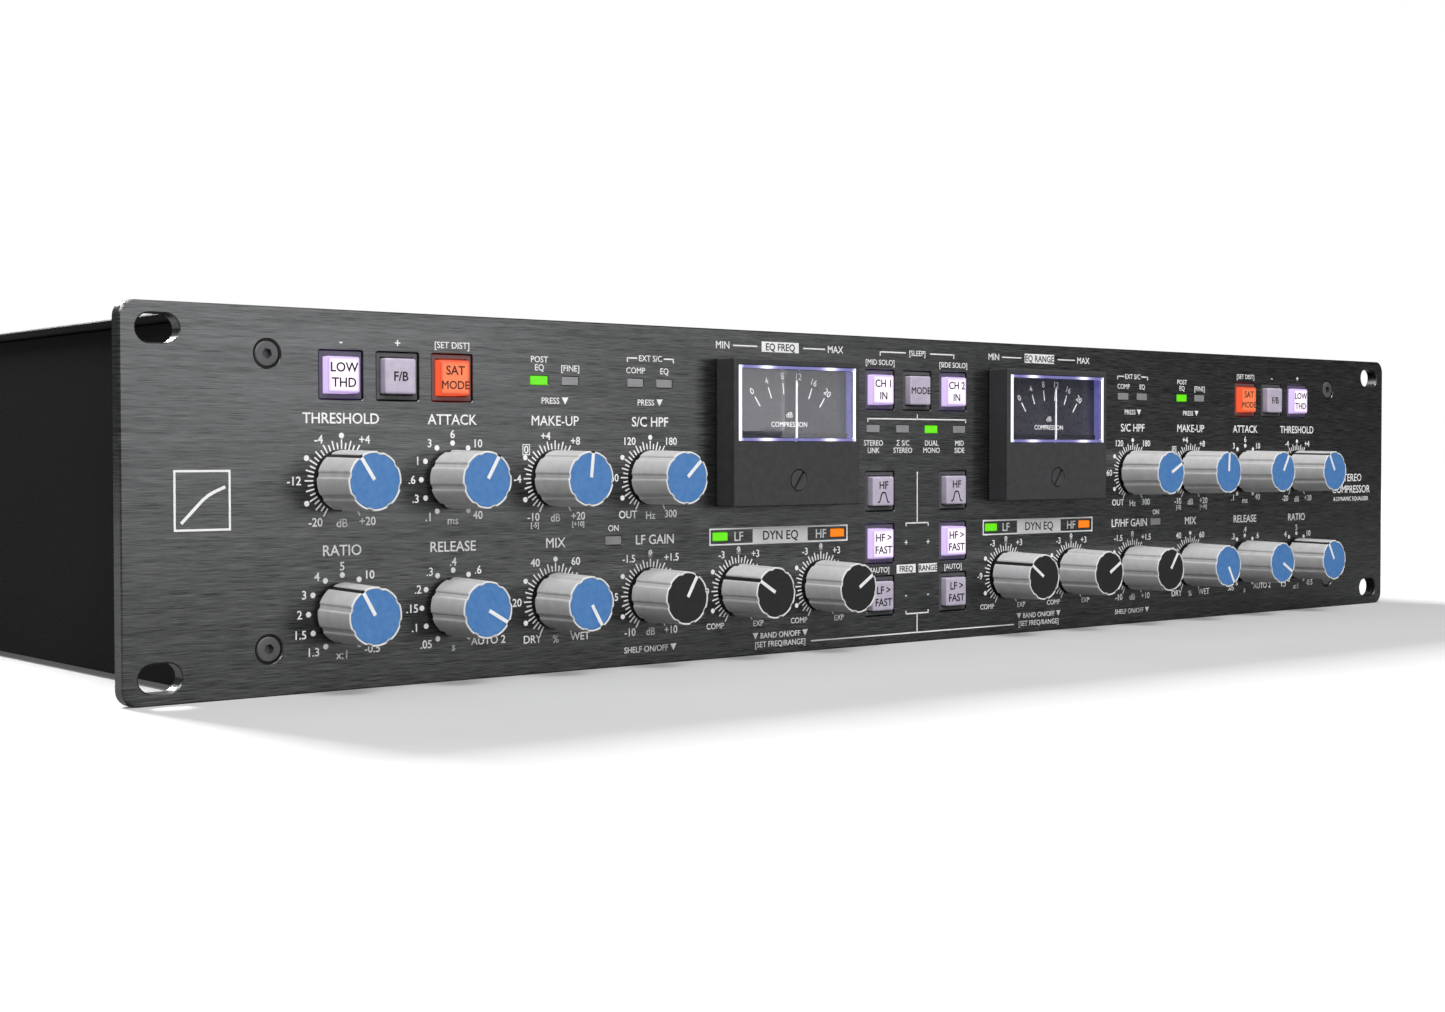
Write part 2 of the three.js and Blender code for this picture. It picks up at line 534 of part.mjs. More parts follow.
/** A meter's housing: face, window, needle space and barrel, centred on x = 0. */
function meterHousing() {
  const top = METER_Z + METER_HEIGHT / 2;
  const windowTop = top - WINDOW_TOP_INSET;
  const windowBottom = windowTop - WINDOW_HEIGHT;
  const half = WINDOW_WIDTH / 2;
  const dial = -METER_PROUD + DIAL_DEPTH;
  const hubBack = -METER_PROUD + METER_WALL + RUN + HUB_LENGTH;
  const headBack = -METER_PROUD + ZERO_HEAD;
  const face = bar(0, METER_Z, METER_WIDTH, METER_HEIGHT, -METER_PROUD, -SEAT);
  const barrel = bar(0, METER_Z, BARREL_WIDTH, BARREL_HEIGHT, -SEAT - CUT, PANEL_BACK + BARREL_DEPTH);
  const inner = [BARREL_WIDTH - 2 * BARREL_WALL, BARREL_HEIGHT - 2 * BARREL_WALL];
  return cut(join([face, barrel]), [
    block([-half, half], [-METER_PROUD - CUT, dial], [windowBottom, windowTop]),
    block([-half, half], [-METER_PROUD + METER_WALL, dial], [PIVOT_Z - HUB_RADIUS - RUN, windowTop]),
    rod(0, PIVOT_Z, ARBOR_RADIUS + RUN, dial - CUT, Math.max(hubBack, dial) + ARBOR_LENGTH + RUN, 12),
    rod(0, ZERO_Z, ZERO_RADIUS + RUN, -METER_PROUD - CUT, headBack + RUN),
    rod(0, ZERO_Z, ZERO_SHANK_RADIUS + RUN, headBack, headBack + RUN + ZERO_SHANK + RUN, 12),
    bar(0, METER_Z, inner[0], inner[1], PANEL_BACK, PANEL_BACK + BARREL_DEPTH + CUT),
  ]);
}

/** A meter's needle on its hub and arbor, pointing up from its pivot. */
function needle() {
  const front = -METER_PROUD + METER_WALL + RUN;
  const pointer = block([-NEEDLE_WIDTH / 2, NEEDLE_WIDTH / 2], [front, front + NEEDLE_THICKNESS],
    [0, NEEDLE_REACH]);
  const hub = rod(0, 0, HUB_RADIUS, front, front + HUB_LENGTH, 12);
  const arbor = rod(0, 0, ARBOR_RADIUS, front + HUB_LENGTH - NEEDLE_THICKNESS,
    front + HUB_LENGTH + ARBOR_LENGTH, 12);
  return join([pointer, hub, arbor]);
}

/** A meter's zero-adjusting screw, with its slot upright. */
function zeroScrew() {
  const head = rod(0, 0, ZERO_RADIUS, -METER_PROUD, -METER_PROUD + ZERO_HEAD);
  const shank = rod(0, 0, ZERO_SHANK_RADIUS, -METER_PROUD + ZERO_HEAD / 2,
    -METER_PROUD + ZERO_HEAD + ZERO_SHANK, 12);
  const groove = bar(0, 0, ZERO_SLOT, 2 * ZERO_RADIUS + CUT, -METER_PROUD - CUT,
    -METER_PROUD + ZERO_SLOT_DEPTH);
  return cut(join([head, shank]), [groove]);
}

// ---- Boards and rear sockets ------------------------------------------------------------------

/** Three places on a socket's pin circle. */
const pinPlaces = (x) => [-90, 30, 150].map((angle) => {
  const turn = THREE.MathUtils.degToRad(angle);
  return { x: x + PIN_CIRCLE * Math.cos(turn), z: SOCKET_Z + PIN_CIRCLE * Math.sin(turn) };
});

/** The body of a three-pin socket: a block behind the panel and a boss through it. */
function socketShell(x) {
  const face = REAR_FACE + SOCKET_PROUD;
  const back = REAR_INNER - SEAT;
  const body = bar(x, SOCKET_Z, SOCKET_BLOCK_WIDTH, SOCKET_BLOCK_HEIGHT, back - SOCKET_BLOCK_DEPTH, back);
  return join([body, rod(x, SOCKET_Z, SOCKET_RADIUS, back - CUT, face, 24)]);
}

/** An input socket, with its three contact holes. */
function inputSocket(x) {
  const face = REAR_FACE + SOCKET_PROUD;
  const contacts = pinPlaces(x).map((place) => rod(place.x, place.z, CONTACT_RADIUS,
    face - SOCKET_CAVITY_DEPTH, face + CUT, 10));
  return cut(socketShell(x), contacts);
}

/** An output socket, with its well and three pins. */
function outputSocket(x) {
  const face = REAR_FACE + SOCKET_PROUD;
  const floor = face - SOCKET_CAVITY_DEPTH;
  const well = rod(x, SOCKET_Z, SOCKET_CAVITY_RADIUS, floor, face + CUT, 20);
  const pins = pinPlaces(x).map((place) => rod(place.x, place.z, PIN_RADIUS, floor - CUT,
    face - PIN_SET_BACK, 8));
  return join([cut(socketShell(x), [well]), ...pins]);
}

/** A jack socket, with its bush through the panel. */
function jackSocket(x) {
  const back = REAR_INNER - SEAT;
  const body = bar(x, SOCKET_Z, JACK_BLOCK, JACK_BLOCK, back - JACK_BORE_DEPTH, back);
  const bush = rod(x, SOCKET_Z, JACK_RADIUS, back - CUT, JACK_FACE);
  const bore = rod(x, SOCKET_Z, JACK_BORE, JACK_FACE - JACK_BORE_DEPTH, JACK_FACE + CUT, 12);
  return cut(join([body, bush]), [bore]);
}

/** The leg between the audio board and a socket body of the given width and height. */
function socketLeg(x, width, height) {
  const back = REAR_INNER - SEAT;
  return block([x - width / 2, x + width / 2], [back - SOCKET_BLOCK_DEPTH, back],
    [MAIN_BOARD_Z, SOCKET_Z - height / 2 + CUT]);
}

/** The audio board, with the rear sockets on it, their legs and a row of relays. */
function mainBoard() {
  const top = MAIN_BOARD_Z + BOARD;
  const board = block([MAIN_BOARD_LEFT, MAIN_BOARD_RIGHT],
    [MAIN_BOARD_REAR - MAIN_BOARD_DEPTH, MAIN_BOARD_REAR], [MAIN_BOARD_Z, top]);
  const legs = [
    ...[...INPUT_SOCKETS, ...OUTPUT_SOCKETS].map((x) => socketLeg(x, SOCKET_BLOCK_WIDTH, SOCKET_BLOCK_HEIGHT)),
    ...JACK_SOCKETS.map((x) => socketLeg(x, JACK_BLOCK, JACK_BLOCK)),
  ];
  const relays = [1, 2, 3, 4].map((row) => block([RELAY_X, RELAY_X + JACK_BLOCK],
    [MAIN_BOARD_REAR - (row + 1) * RELAY_PITCH, MAIN_BOARD_REAR - (row + 1) * RELAY_PITCH + RELAY_LENGTH],
    [MAIN_BOARD_Z, top + RELAY_HEIGHT]));
  const sockets = [...INPUT_SOCKETS.map(inputSocket), ...OUTPUT_SOCKETS.map(outputSocket),
    ...JACK_SOCKETS.map(jackSocket)];
  return join([board, ...legs, ...relays, ...sockets]);
}

/** The power supply: board, transformer, finned heat sink and two reservoir capacitors. */
function powerSupply() {
  const bottom = FLOOR_TOP + STANDOFF_HEIGHT + SEAT;
  const front = SUPPLY_REAR - SUPPLY_DEPTH;
  const half = SUPPLY_WIDTH / 2;
  const board = block([SUPPLY_X - half, SUPPLY_X + half], [front, SUPPLY_REAR], [bottom, bottom + BOARD]);
  const transformer = block([SUPPLY_X - half + SCREW_EDGE * 3, SUPPLY_X],
    [SUPPLY_REAR - 2 * TRANSFORMER_LENGTH, SUPPLY_REAR - TRANSFORMER_LENGTH], [bottom, bottom + TALL_PARTS]);
  const sinkRight = SUPPLY_X + half - SCREW_EDGE * 2;
  const sink = block([sinkRight - SINK_WIDTH, sinkRight], [front + SINK_START,
    front + SINK_START + (2 * SINK_FINS - 1) * SINK_FIN], [bottom, bottom + TALL_PARTS]);
  const channels = Array.from({ length: SINK_FINS - 1 }, (_, i) => {
    const start = front + SINK_START + (2 * i + 1) * SINK_FIN;
    return block([sinkRight - SINK_WIDTH + SINK_FIN, sinkRight + CUT], [start, start + SINK_FIN],
      [bottom + BOARD, bottom + TALL_PARTS + CUT]);
  });
  const capacitors = [-1, 1].map((side) => post(SUPPLY_X - SCREW_EDGE * 3 + side * 1.3 * CAPACITOR_RADIUS,
    front + SINK_START + CAPACITOR_RADIUS, CAPACITOR_RADIUS, bottom, bottom + TALL_PARTS, 12));
  return join([board, transformer, cut(sink, channels), ...capacitors]);
}

// ---- Mains inlet ------------------------------------------------------------------------------

/** The mains inlet and switch housing, clipped in the rear panel from outside. */
function mainsInlet() {
  const cavityX = INLET_X + INLET_CAVITY_SHIFT;
  const rockerX = INLET_X + ROCKER_SHIFT;
  const flange = bar(INLET_X, INLET_Z, INLET_FLANGE_WIDTH, INLET_FLANGE_HEIGHT, FLANGE_BACK, INLET_FACE);
  const body = bar(INLET_X, INLET_Z, INLET_BODY_WIDTH, INLET_BODY_HEIGHT,
    INLET_FACE - INLET_BODY_DEPTH, INLET_FACE - SEAT);
  const floor = INLET_FACE - INLET_CAVITY_DEPTH;
  const cavity = bar(cavityX, INLET_Z, INLET_CAVITY_WIDTH, INLET_CAVITY_HEIGHT, floor, INLET_FACE + CUT);
  const swing = ROCKER_DEPTH * Math.sin(THREE.MathUtils.degToRad(ROCKER_TILT));
  const well = bar(rockerX, INLET_Z, ROCKER_WIDTH + 2 * RUN, ROCKER_HEIGHT + 2 * RUN + swing,
    INLET_FACE - ROCKER_DEPTH - swing - RUN, INLET_FACE + CUT);
  const blades = [[-BLADE_SPREAD, -BLADE_RISE], [BLADE_SPREAD, -BLADE_RISE], [0, BLADE_RISE]].map(
    ([x, z]) => bar(cavityX + x, INLET_Z + z, BLADE_WIDTH, BLADE_HEIGHT, floor - CUT, INLET_FACE - CUT));
  return join([cut(join([flange, body]), [cavity, well]), ...blades]);
}

/** The rocker, level, about its own pivot: two faces meeting at a shallow angle. */
function rocker() {
  const half = ROCKER_HEIGHT / 2;
  const rise = half * Math.tan(THREE.MathUtils.degToRad(ROCKER_TILT));
  const outline = new THREE.Shape();
  outline.moveTo(-half, ROCKER_PROUD + rise);
  outline.lineTo(0, ROCKER_PROUD);
  outline.lineTo(half, ROCKER_PROUD + rise);
  outline.lineTo(ROCKER_FOOT / 2, -ROCKER_DEPTH + ROCKER_PROUD);
  outline.lineTo(-ROCKER_FOOT / 2, -ROCKER_DEPTH + ROCKER_PROUD);
  outline.closePath();
  const settings = { depth: ROCKER_WIDTH, bevelEnabled: false };
  const body = new THREE.ExtrudeGeometry(outline, settings).translate(0, 0, -ROCKER_WIDTH / 2);
  return solid(body.rotateZ(Math.PI / 2).rotateY(Math.PI / 2).rotateX(-Math.PI / 2));
}

// ---- Assembly ---------------------------------------------------------------------------------

/** A mesh moved to (x, z) on the panel and turned clockwise, seen from the front. */
function at(mesh, x, z, turn = 0) {
  mesh.position.set(x, 0, z);
  mesh.rotation.y = THREE.MathUtils.degToRad(turn);
  return mesh;
}

const buttonFinish = (name) => {
  if (ORANGE_BUTTONS.includes(name)) return LIT_ORANGE;
  return LIT_BUTTONS.includes(name) ? LIT_WHITE : UNLIT_LILAC;
};

const unit = new THREE.Group();
unit.add(piece('front_panel', frontPanel(), ANODISED));
unit.add(piece('chassis_tray', chassisTray(), POWDER_COAT));
unit.add(piece('top_cover', topCover(), POWDER_COAT));
unit.add(piece('rear_panel', rearPanel(), POWDER_COAT));
unit.add(piece('control_board', controlBoard(), BOARD_GREEN));
unit.add(piece('main_board', mainBoard(), BOARD_GREEN));
unit.add(piece('power_supply', powerSupply(), SUPPLY_METAL));
unit.add(piece('mains_inlet', mainsInlet(), BLACK_PLASTIC));

for (const { label, x, z, turn, push } of controls) {
  unit.add(at(piece(`knob_${label}`, knob(), KNOB_GREY), x, z, turn));
  if (push) unit.add(at(piece(`plunger_${label}`, plunger(), STEEL), x, z));
}
for (const { name, x, z } of BUTTONS) {
  unit.add(at(piece(`button_${name}`, button(), buttonFinish(name)), x, z));
}
for (const [channel, x] of [[1, -METER_X], [2, METER_X]]) {
  unit.add(at(piece(`meter_housing_${channel}`, meterHousing(), METER_BLACK), x, 0));
  unit.add(at(piece(`meter_needle_${channel}`, needle(), BLACK_PLASTIC), x, PIVOT_Z));
  unit.add(at(piece(`meter_zero_screw_${channel}`, zeroScrew(), BLACK_PLASTIC), x, ZERO_Z, ZERO_TURN));
}
const mainsRocker = piece('mains_rocker', rocker(), BLACK_PLASTIC);
mainsRocker.position.set(INLET_X + ROCKER_SHIFT, INLET_FACE, INLET_Z);
mainsRocker.rotation.x = THREE.MathUtils.degToRad(ROCKER_TILT);
unit.add(mainsRocker);

// The unit stands on the panel's lower edge and its feet, centred over the origin.
const middle = new THREE.Box3().setFromObject(unit, true).getCenter(new THREE.Vector3());
unit.position.set(-middle.x, -middle.y, -PANEL_BOTTOM);
const part = new THREE.Group();
part.add(unit);

export default part;
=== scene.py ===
"""The looks of a two-channel rack compressor, two rack units high.

Every piece is laid out in panel millimetres: X to the right and Z up from the middle of the front
panel's face, and Y into the unit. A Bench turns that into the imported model's metres, and gives
the places of the knobs, buttons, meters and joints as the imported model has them. Each sub-assembly
is a class that holds its sizes, builds its meshes with bmesh operators and dresses them.
"""

import json
import logging
import math
from dataclasses import dataclass, field
from enum import Enum
from typing import Callable

import bmesh
import bpy
from mathutils import Euler, Matrix, Vector

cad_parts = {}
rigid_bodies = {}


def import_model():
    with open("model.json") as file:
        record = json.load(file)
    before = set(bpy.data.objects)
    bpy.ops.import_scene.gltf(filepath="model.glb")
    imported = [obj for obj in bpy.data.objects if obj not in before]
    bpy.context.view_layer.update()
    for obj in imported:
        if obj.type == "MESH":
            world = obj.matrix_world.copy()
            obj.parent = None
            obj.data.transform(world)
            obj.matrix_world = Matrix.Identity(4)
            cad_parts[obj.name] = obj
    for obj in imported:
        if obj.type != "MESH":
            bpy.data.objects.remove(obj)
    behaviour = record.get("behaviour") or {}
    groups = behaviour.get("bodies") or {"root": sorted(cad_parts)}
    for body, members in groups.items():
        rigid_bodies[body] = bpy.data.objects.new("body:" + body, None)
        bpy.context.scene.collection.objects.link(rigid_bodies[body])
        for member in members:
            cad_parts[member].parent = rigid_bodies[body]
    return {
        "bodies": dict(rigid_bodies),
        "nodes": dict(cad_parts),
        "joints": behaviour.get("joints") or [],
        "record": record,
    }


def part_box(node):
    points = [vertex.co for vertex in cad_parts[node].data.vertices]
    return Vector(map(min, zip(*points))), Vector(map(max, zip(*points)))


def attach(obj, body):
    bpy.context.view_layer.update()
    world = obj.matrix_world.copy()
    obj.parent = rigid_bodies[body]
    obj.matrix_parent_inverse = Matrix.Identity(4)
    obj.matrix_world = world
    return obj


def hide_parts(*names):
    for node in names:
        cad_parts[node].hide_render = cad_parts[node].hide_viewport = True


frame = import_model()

MM = 0.001
TURN = 2 * math.pi
SAME = 0.0005  # points closer than this, in mm, are one point
CAP_HEIGHT = 0.682  # height of the lettering's capitals at size 1
ARC_STEPS = 6  # edges in an opening's round corner
BOARD_GREEN = "#17552F"
CHANNELS = (1, 2)
SIDES = (-1, 1)  # left and right, or lower and upper

log = logging.getLogger("compressor")
Node = bpy.types.Node
Socket = bpy.types.NodeSocket
Point = tuple[float, float, float]


class Facing(Enum):
    """The way that a small part's front looks once it is fitted."""

    FRONT = (0.0, 0.0, 0.0)
    REAR = (0.0, 0.0, math.pi)
    UP = (-math.pi / 2, 0.0, 0.0)

    def turned(self) -> Matrix:
        """The turn from looking forwards to looking this way."""
        return Euler(self.value).to_matrix().to_4x4()


class Lamp(Enum):
    """How a status lamp shows."""

    GREEN = "green"
    ORANGE = "orange"
    OFF = "off"


class Glow(Enum):
    """How a push button is lit."""

    WHITE = "white"
    ORANGE = "orange"
    UNLIT = "unlit"


# ---- Finishes -----------------------------------------------------------------------------------


def linear(colour: str) -> tuple[float, float, float, float]:
    """Turns an sRGB hex colour into linear light.

    Args:
        colour: six hex digits after a hash.

    Returns:
        Red, green, blue and an alpha of 1.
    """
    parts = [int(colour[i:i + 2], 16) / 255 for i in (1, 3, 5)]
    red, green, blue = (c / 12.92 if c <= 0.04045 else ((c + 0.055) / 1.055) ** 2.4 for c in parts)
    return red, green, blue, 1.0


def add_node(tree: bpy.types.NodeTree, kind: str, settings: dict | None = None,
             inputs: dict | None = None) -> Node:
    """Adds a node to a tree with its settings, values and links.

    Args:
        tree: the node tree.
        kind: the node's type.
        settings: properties of the node.
        inputs: a value, or the socket that feeds it, for each input by name or number.

    Returns:
        The new node.
    """
    node = tree.nodes.new(kind)
    for key, value in (settings or {}).items():
        setattr(node, key, value)
    for key, value in (inputs or {}).items():
        if isinstance(value, Socket):
            tree.links.new(value, node.inputs[key])
        else:
            node.inputs[key].default_value = value
    return node


@dataclass(frozen=True)
class Finish:
    """A plain finish, and what every other finish starts from.

    Attributes:
        name: what the material is.
        slot: the record's material slot; not used.
        colour: sRGB hex colour.
        roughness: of the surface.
        metallic: 1 for bare metal.
        ior: of a coating or plastic; a metal keeps the default.
    """

    name: str
    slot: str
    colour: str
    roughness: float = 0.5
    metallic: float = 0.0
    ior: float = 1.5

    def material(self) -> bpy.types.Material:
        """Makes the material once, and gives the same one again later."""
        ready = bpy.data.materials.get(self.name)
        if ready:
            return ready
        made = bpy.data.materials.new(self.name)
        made.use_nodes = True
        made.diffuse_color = linear(self.colour)
        tree = made.node_tree
        tree.nodes.clear()
        place = add_node(tree, "ShaderNodeTexCoord").outputs["Object"]
        shader = add_node(tree, "ShaderNodeBsdfPrincipled", None, {
            "Base Color": linear(self.colour), "Roughness": self.roughness,
            "Metallic": self.metallic, "IOR": self.ior})
        surface = self.work(tree, place, shader)
        add_node(tree, "ShaderNodeOutputMaterial", None, {"Surface": surface})
        return made

    def work(self, tree: bpy.types.NodeTree, place: Socket, shader: Node) -> Socket:
        """Works the surface. Each finish adds its own pattern here.

        Args:
            tree: the material's tree.
            place: object coordinates, in metres.
            shader: the Principled node.

        Returns:
            The socket for the surface.
        """
        return shader.outputs[0]

    def marks(self, tree: bpy.types.NodeTree, place: Socket, size: Point, detail: float = 2.0,
              offset: float = 0.0) -> Socket:
        """Noise whose marks have a real size.

        Args:
            tree: the material's tree.
            place: object coordinates, in metres.
            size: of one mark along each axis, in mm.
            detail: how many finer layers it has.
            offset: moves the pattern, so that two of them differ.

        Returns:
            The noise's value.
        """
        scaled = add_node(tree, "ShaderNodeMapping", {"vector_type": "POINT"}, {
            "Vector": place, "Location": (offset, offset, offset),
            "Scale": tuple(1 / (s * MM) for s in size)})
        noise = add_node(tree, "ShaderNodeTexNoise", {"noise_dimensions": "3D"}, {
            "Vector": scaled.outputs[0], "Scale": 1.0, "Detail": detail, "Roughness": 0.55})
        return noise.outputs[0]

    def between(self, tree: bpy.types.NodeTree, share: Socket, low: float, high: float,
                start: float = 0.3, end: float = 0.7) -> Socket:
        """Spreads a noise value over a range.

        Args:
            tree: the material's tree.
            share: the noise.
            low: result at start.
            high: result at end.
            start: noise value at the low end.
            end: noise value at the high end.

        Returns:
            The spread value.
        """
        return add_node(tree, "ShaderNodeMapRange", None, {
            "Value": share, "From Min": start, "From Max": end,
            "To Min": low, "To Max": high}).outputs[0]

    def tones(self, tree: bpy.types.NodeTree, share: Socket, dark: str, light: str,
              start: float = 0.3, end: float = 0.7) -> Socket:
        """Two tones of a colour, mixed by a noise value.

        Args:
            tree: the material's tree.
            share: the noise.
            dark: hex colour at start.
            light: hex colour at end.
            start: noise value of the dark tone.
            end: noise value of the light tone.

        Returns:
            The colour.
        """
        ramp = add_node(tree, "ShaderNodeValToRGB", None, {0: share})
        ramp.color_ramp.elements[0].position = start
        ramp.color_ramp.elements[0].color = linear(dark)
        ramp.color_ramp.elements[1].position = end
        ramp.color_ramp.elements[1].color = linear(light)
        return ramp.outputs[0]

    def raised(self, tree: bpy.types.NodeTree, shader: Node, share: Socket, height: float) -> None:
        """Lifts the surface by a noise value.

        Args:
            tree: the material's tree.
            shader: the Principled node.
            share: the noise.
            height: of the marks, in mm.
        """
        bump = add_node(tree, "ShaderNodeBump", None, {
            "Strength": 1.0, "Distance": height * MM, "Height": share})
        tree.links.new(bump.outputs[0], shader.inputs["Normal"])


@dataclass(frozen=True)
class BrushedAnodised(Finish):
    """Aluminium brushed along its length and dyed dark: fine streaks, softer shine across them."""

    light: str = "#747576"
    streak: Point = (7.0, 7.0, 0.14)  # about as long and as high as the real grain
    band: Point = (45.0, 45.0, 1.2)

    def work(self, tree: bpy.types.NodeTree, place: Socket, shader: Node) -> Socket:
        """Adds streaks and broad bands to colour, shine and height."""
        streaks = self.marks(tree, place, self.streak, 3.0)
        bands = self.marks(tree, place, self.band, 1.0, 3.0)
        both = add_node(tree, "ShaderNodeMath", {"operation": "MULTIPLY_ADD"},
                        {0: bands, 1: 0.2, 2: streaks}).outputs[0]
        colour = self.tones(tree, both, self.colour, self.light, 0.42, 0.78)
        rough = self.between(tree, streaks, self.roughness - 0.07, self.roughness + 0.1)
        tree.links.new(colour, shader.inputs["Base Color"])
        tree.links.new(rough, shader.inputs["Roughness"])
        self.raised(tree, shader, streaks, 0.004)
        return shader.outputs[0]


@dataclass(frozen=True)
class PowderCoated(Finish):
    """Steel sheet with a baked powder coat: a fine orange-peel grain, almost no shine."""

    light: str = "#121213"
    grain: float = 0.55

    def work(self, tree: bpy.types.NodeTree, place: Socket, shader: Node) -> Socket:
        """Adds the grain and a slow drift of tone."""
        grain = self.marks(tree, place, (self.grain,) * 3, 1.0)
        drift = self.marks(tree, place, (70.0,) * 3, 1.0, 5.0)
        colour = self.tones(tree, drift, self.colour, self.light)
        tree.links.new(colour, shader.inputs["Base Color"])
        tree.links.new(self.between(tree, grain, self.roughness - 0.08, self.roughness + 0.08),
                       shader.inputs["Roughness"])
        self.raised(tree, shader, grain, 0.03)
        return shader.outputs[0]


@dataclass(frozen=True)
class Moulded(Finish):
    """Injection-moulded plastic or paint: an even tone with a faint grain from its mould."""

    light: str = "#FFFFFF"
    grain: float = 0.5
    height: float = 0.004
    clearcoat: float = 0.0

    def work(self, tree: bpy.types.NodeTree, place: Socket, shader: Node) -> Socket:
        """Adds mottling to colour, shine and height."""
        grain = self.marks(tree, place, (self.grain,) * 3)
        mottle = self.marks(tree, place, (self.grain * 5,) * 3, 3.0, 2.0)
        colour = self.tones(tree, mottle, self.colour, self.light)
        tree.links.new(colour, shader.inputs["Base Color"])
        tree.links.new(self.between(tree, grain, self.roughness - 0.04, self.roughness + 0.06),
                       shader.inputs["Roughness"])
        shader.inputs["Coat Weight"].default_value = self.clearcoat
        self.raised(tree, shader, grain, self.height)
        return shader.outputs[0]


@dataclass(frozen=True)
class Turned(Finish):
    """Bare or plated metal off a lathe: fine rings of tool marks and a few dull spots."""

    light: str = "#E0E0E0"
    pitch: float = 0.35

    def work(self, tree: bpy.types.NodeTree, place: Socket, shader: Node) -> Socket:
        """Adds tool marks along the depth and patches of dullness."""
        rings = self.marks(tree, place, (8.0, self.pitch, 8.0), 1.0)
        patches = self.marks(tree, place, (3.0,) * 3, 3.0, 1.0)
        colour = self.tones(tree, patches, self.colour, self.light)
        tree.links.new(colour, shader.inputs["Base Color"])
        tree.links.new(self.between(tree, patches, self.roughness - 0.06, self.roughness + 0.12),
                       shader.inputs["Roughness"])
        self.raised(tree, shader, rings, 0.006)
        return shader.outputs[0]


@dataclass(frozen=True)
class LitPlastic(Finish):
    """Milky plastic lit from behind: brightest where the piece's glow attribute is high."""

    edge: str = "#C0A0FF"
    power: float = 1.0
    edge_power: float = 0.5
    body: str = "#8A8A8A"  # of the plastic itself, unlit

    def work(self, tree: bpy.types.NodeTree, place: Socket, shader: Node) -> Socket:
        """Adds light that fades and takes a tint towards the edge."""
        glow = add_node(tree, "ShaderNodeAttribute", {"attribute_name": "glow"}).outputs["Fac"]
        cloud = self.marks(tree, place, (2.6,) * 3, 1.0)
        light = add_node(tree, "ShaderNodeMath", {"operation": "MULTIPLY_ADD"},
                         {0: cloud, 1: 0.12, 2: glow}).outputs[0]
        tree.links.new(self.tones(tree, light, self.edge, self.colour, 0.05, 1.0),
                       shader.inputs["Emission Color"])
        tree.links.new(self.between(tree, light, self.edge_power, self.power, 0.05, 1.0),
                       shader.inputs["Emission Strength"])
        shader.inputs["Base Color"].default_value = linear(self.body)
        return shader.outputs[0]


@dataclass(frozen=True)
class ClearAcrylic(Finish):
    """Cast acrylic sheet, polished: clear, with a hard sharp reflection. Lamps shine through it."""

    def work(self, tree: bpy.types.NodeTree, place: Socket, shader: Node) -> Socket:
        """Makes the sheet clear, and lets lamplight pass."""
        shader.inputs["Transmission Weight"].default_value = 1.0
        smear = self.marks(tree, place, (9.0,) * 3, 2.0)
        tree.links.new(self.between(tree, smear, 0.0, self.roughness), shader.inputs["Roughness"])
        path = add_node(tree, "ShaderNodeLightPath").outputs["Is Shadow Ray"]
        passed = add_node(tree, "ShaderNodeBsdfTransparent").outputs[0]
        return add_node(tree, "ShaderNodeMixShader", None,
                        {0: path, 1: shader.outputs[0], 2: passed}).outputs[0]


@dataclass(frozen=True)
class CircuitBoard(Finish):
    """Glass-fibre board under green solder resist, with black moulded parts above a level."""

    parts: str = "#161617"
    level: float = 0.0  # panel mm: what is above this along the axis is a fitted part
    axis: int = 2
    zero: float = 0.0  # metres: where the panel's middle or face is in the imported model
    above: bool = True

    def work(self, tree: bpy.types.NodeTree, place: Socket, shader: Node) -> Socket:
        """Splits board from parts by height, and adds tracks and weave."""
        height = add_node(tree, "ShaderNodeSeparateXYZ", None, {0: place}).outputs[self.axis]
        kind = add_node(tree, "ShaderNodeMath",
                        {"operation": "GREATER_THAN" if self.above else "LESS_THAN"},
                        {0: height, 1: self.zero + self.level * MM}).outputs[0]
        tracks = self.marks(tree, place, (6.0, 1.2, 1.2), 2.0)
        board = self.tones(tree, tracks, self.colour, "#1E6B3C", 0.47, 0.53)
        mix = add_node(tree, "ShaderNodeMix", {"data_type": "RGBA"},
                       {0: kind, 6: board, 7: linear(self.parts)})
        tree.links.new(mix.outputs[2], shader.inputs["Base Color"])
        self.raised(tree, shader, tracks, 0.03)
        return shader.outputs[0]


@dataclass(frozen=True)
class StudioFloor(Finish):
    """White sweep, lit from below so that it fades into the white behind it."""

    lift: float = 0.1
    bounce: str = "#6A6A6A"
    near: float = 0.5
    far: float = 1.1

    def work(self, tree: bpy.types.NodeTree, place: Socket, shader: Node) -> Socket:
        """Lifts the floor as the eye sees it, and more so far from the unit."""
        seen = add_node(tree, "ShaderNodeLightPath").outputs["Is Camera Ray"]
        sheet = self.marks(tree, place, (40.0,) * 3, 1.0)
        pale = self.tones(tree, sheet, self.colour, "#B7B7B7")
        mix = add_node(tree, "ShaderNodeMix", {"data_type": "RGBA"},
                       {0: seen, 6: linear(self.bounce), 7: pale})
        tree.links.new(mix.outputs[2], shader.inputs["Base Color"])
        away = add_node(tree, "ShaderNodeVectorMath", {"operation": "LENGTH"}, {0: place})
        lift = self.between(tree, away.outputs["Value"], self.lift, 1.0, self.near, self.far)
        share = add_node(tree, "ShaderNodeMath", {"operation": "MULTIPLY"}, {0: lift, 1: seen})
        tree.links.new(share.outputs[0], shader.inputs["Emission Strength"])
        shader.inputs["Emission Color"].default_value = linear("#FFFFFF")
        return shader.outputs[0]


# Dyed aluminium, brushed sideways: dark grey with silvery streaks where light catches the grain.
PANEL = BrushedAnodised("Brushed anodised aluminium", "anodised_panel", "#3C3D3D", 0.27, 0.92)
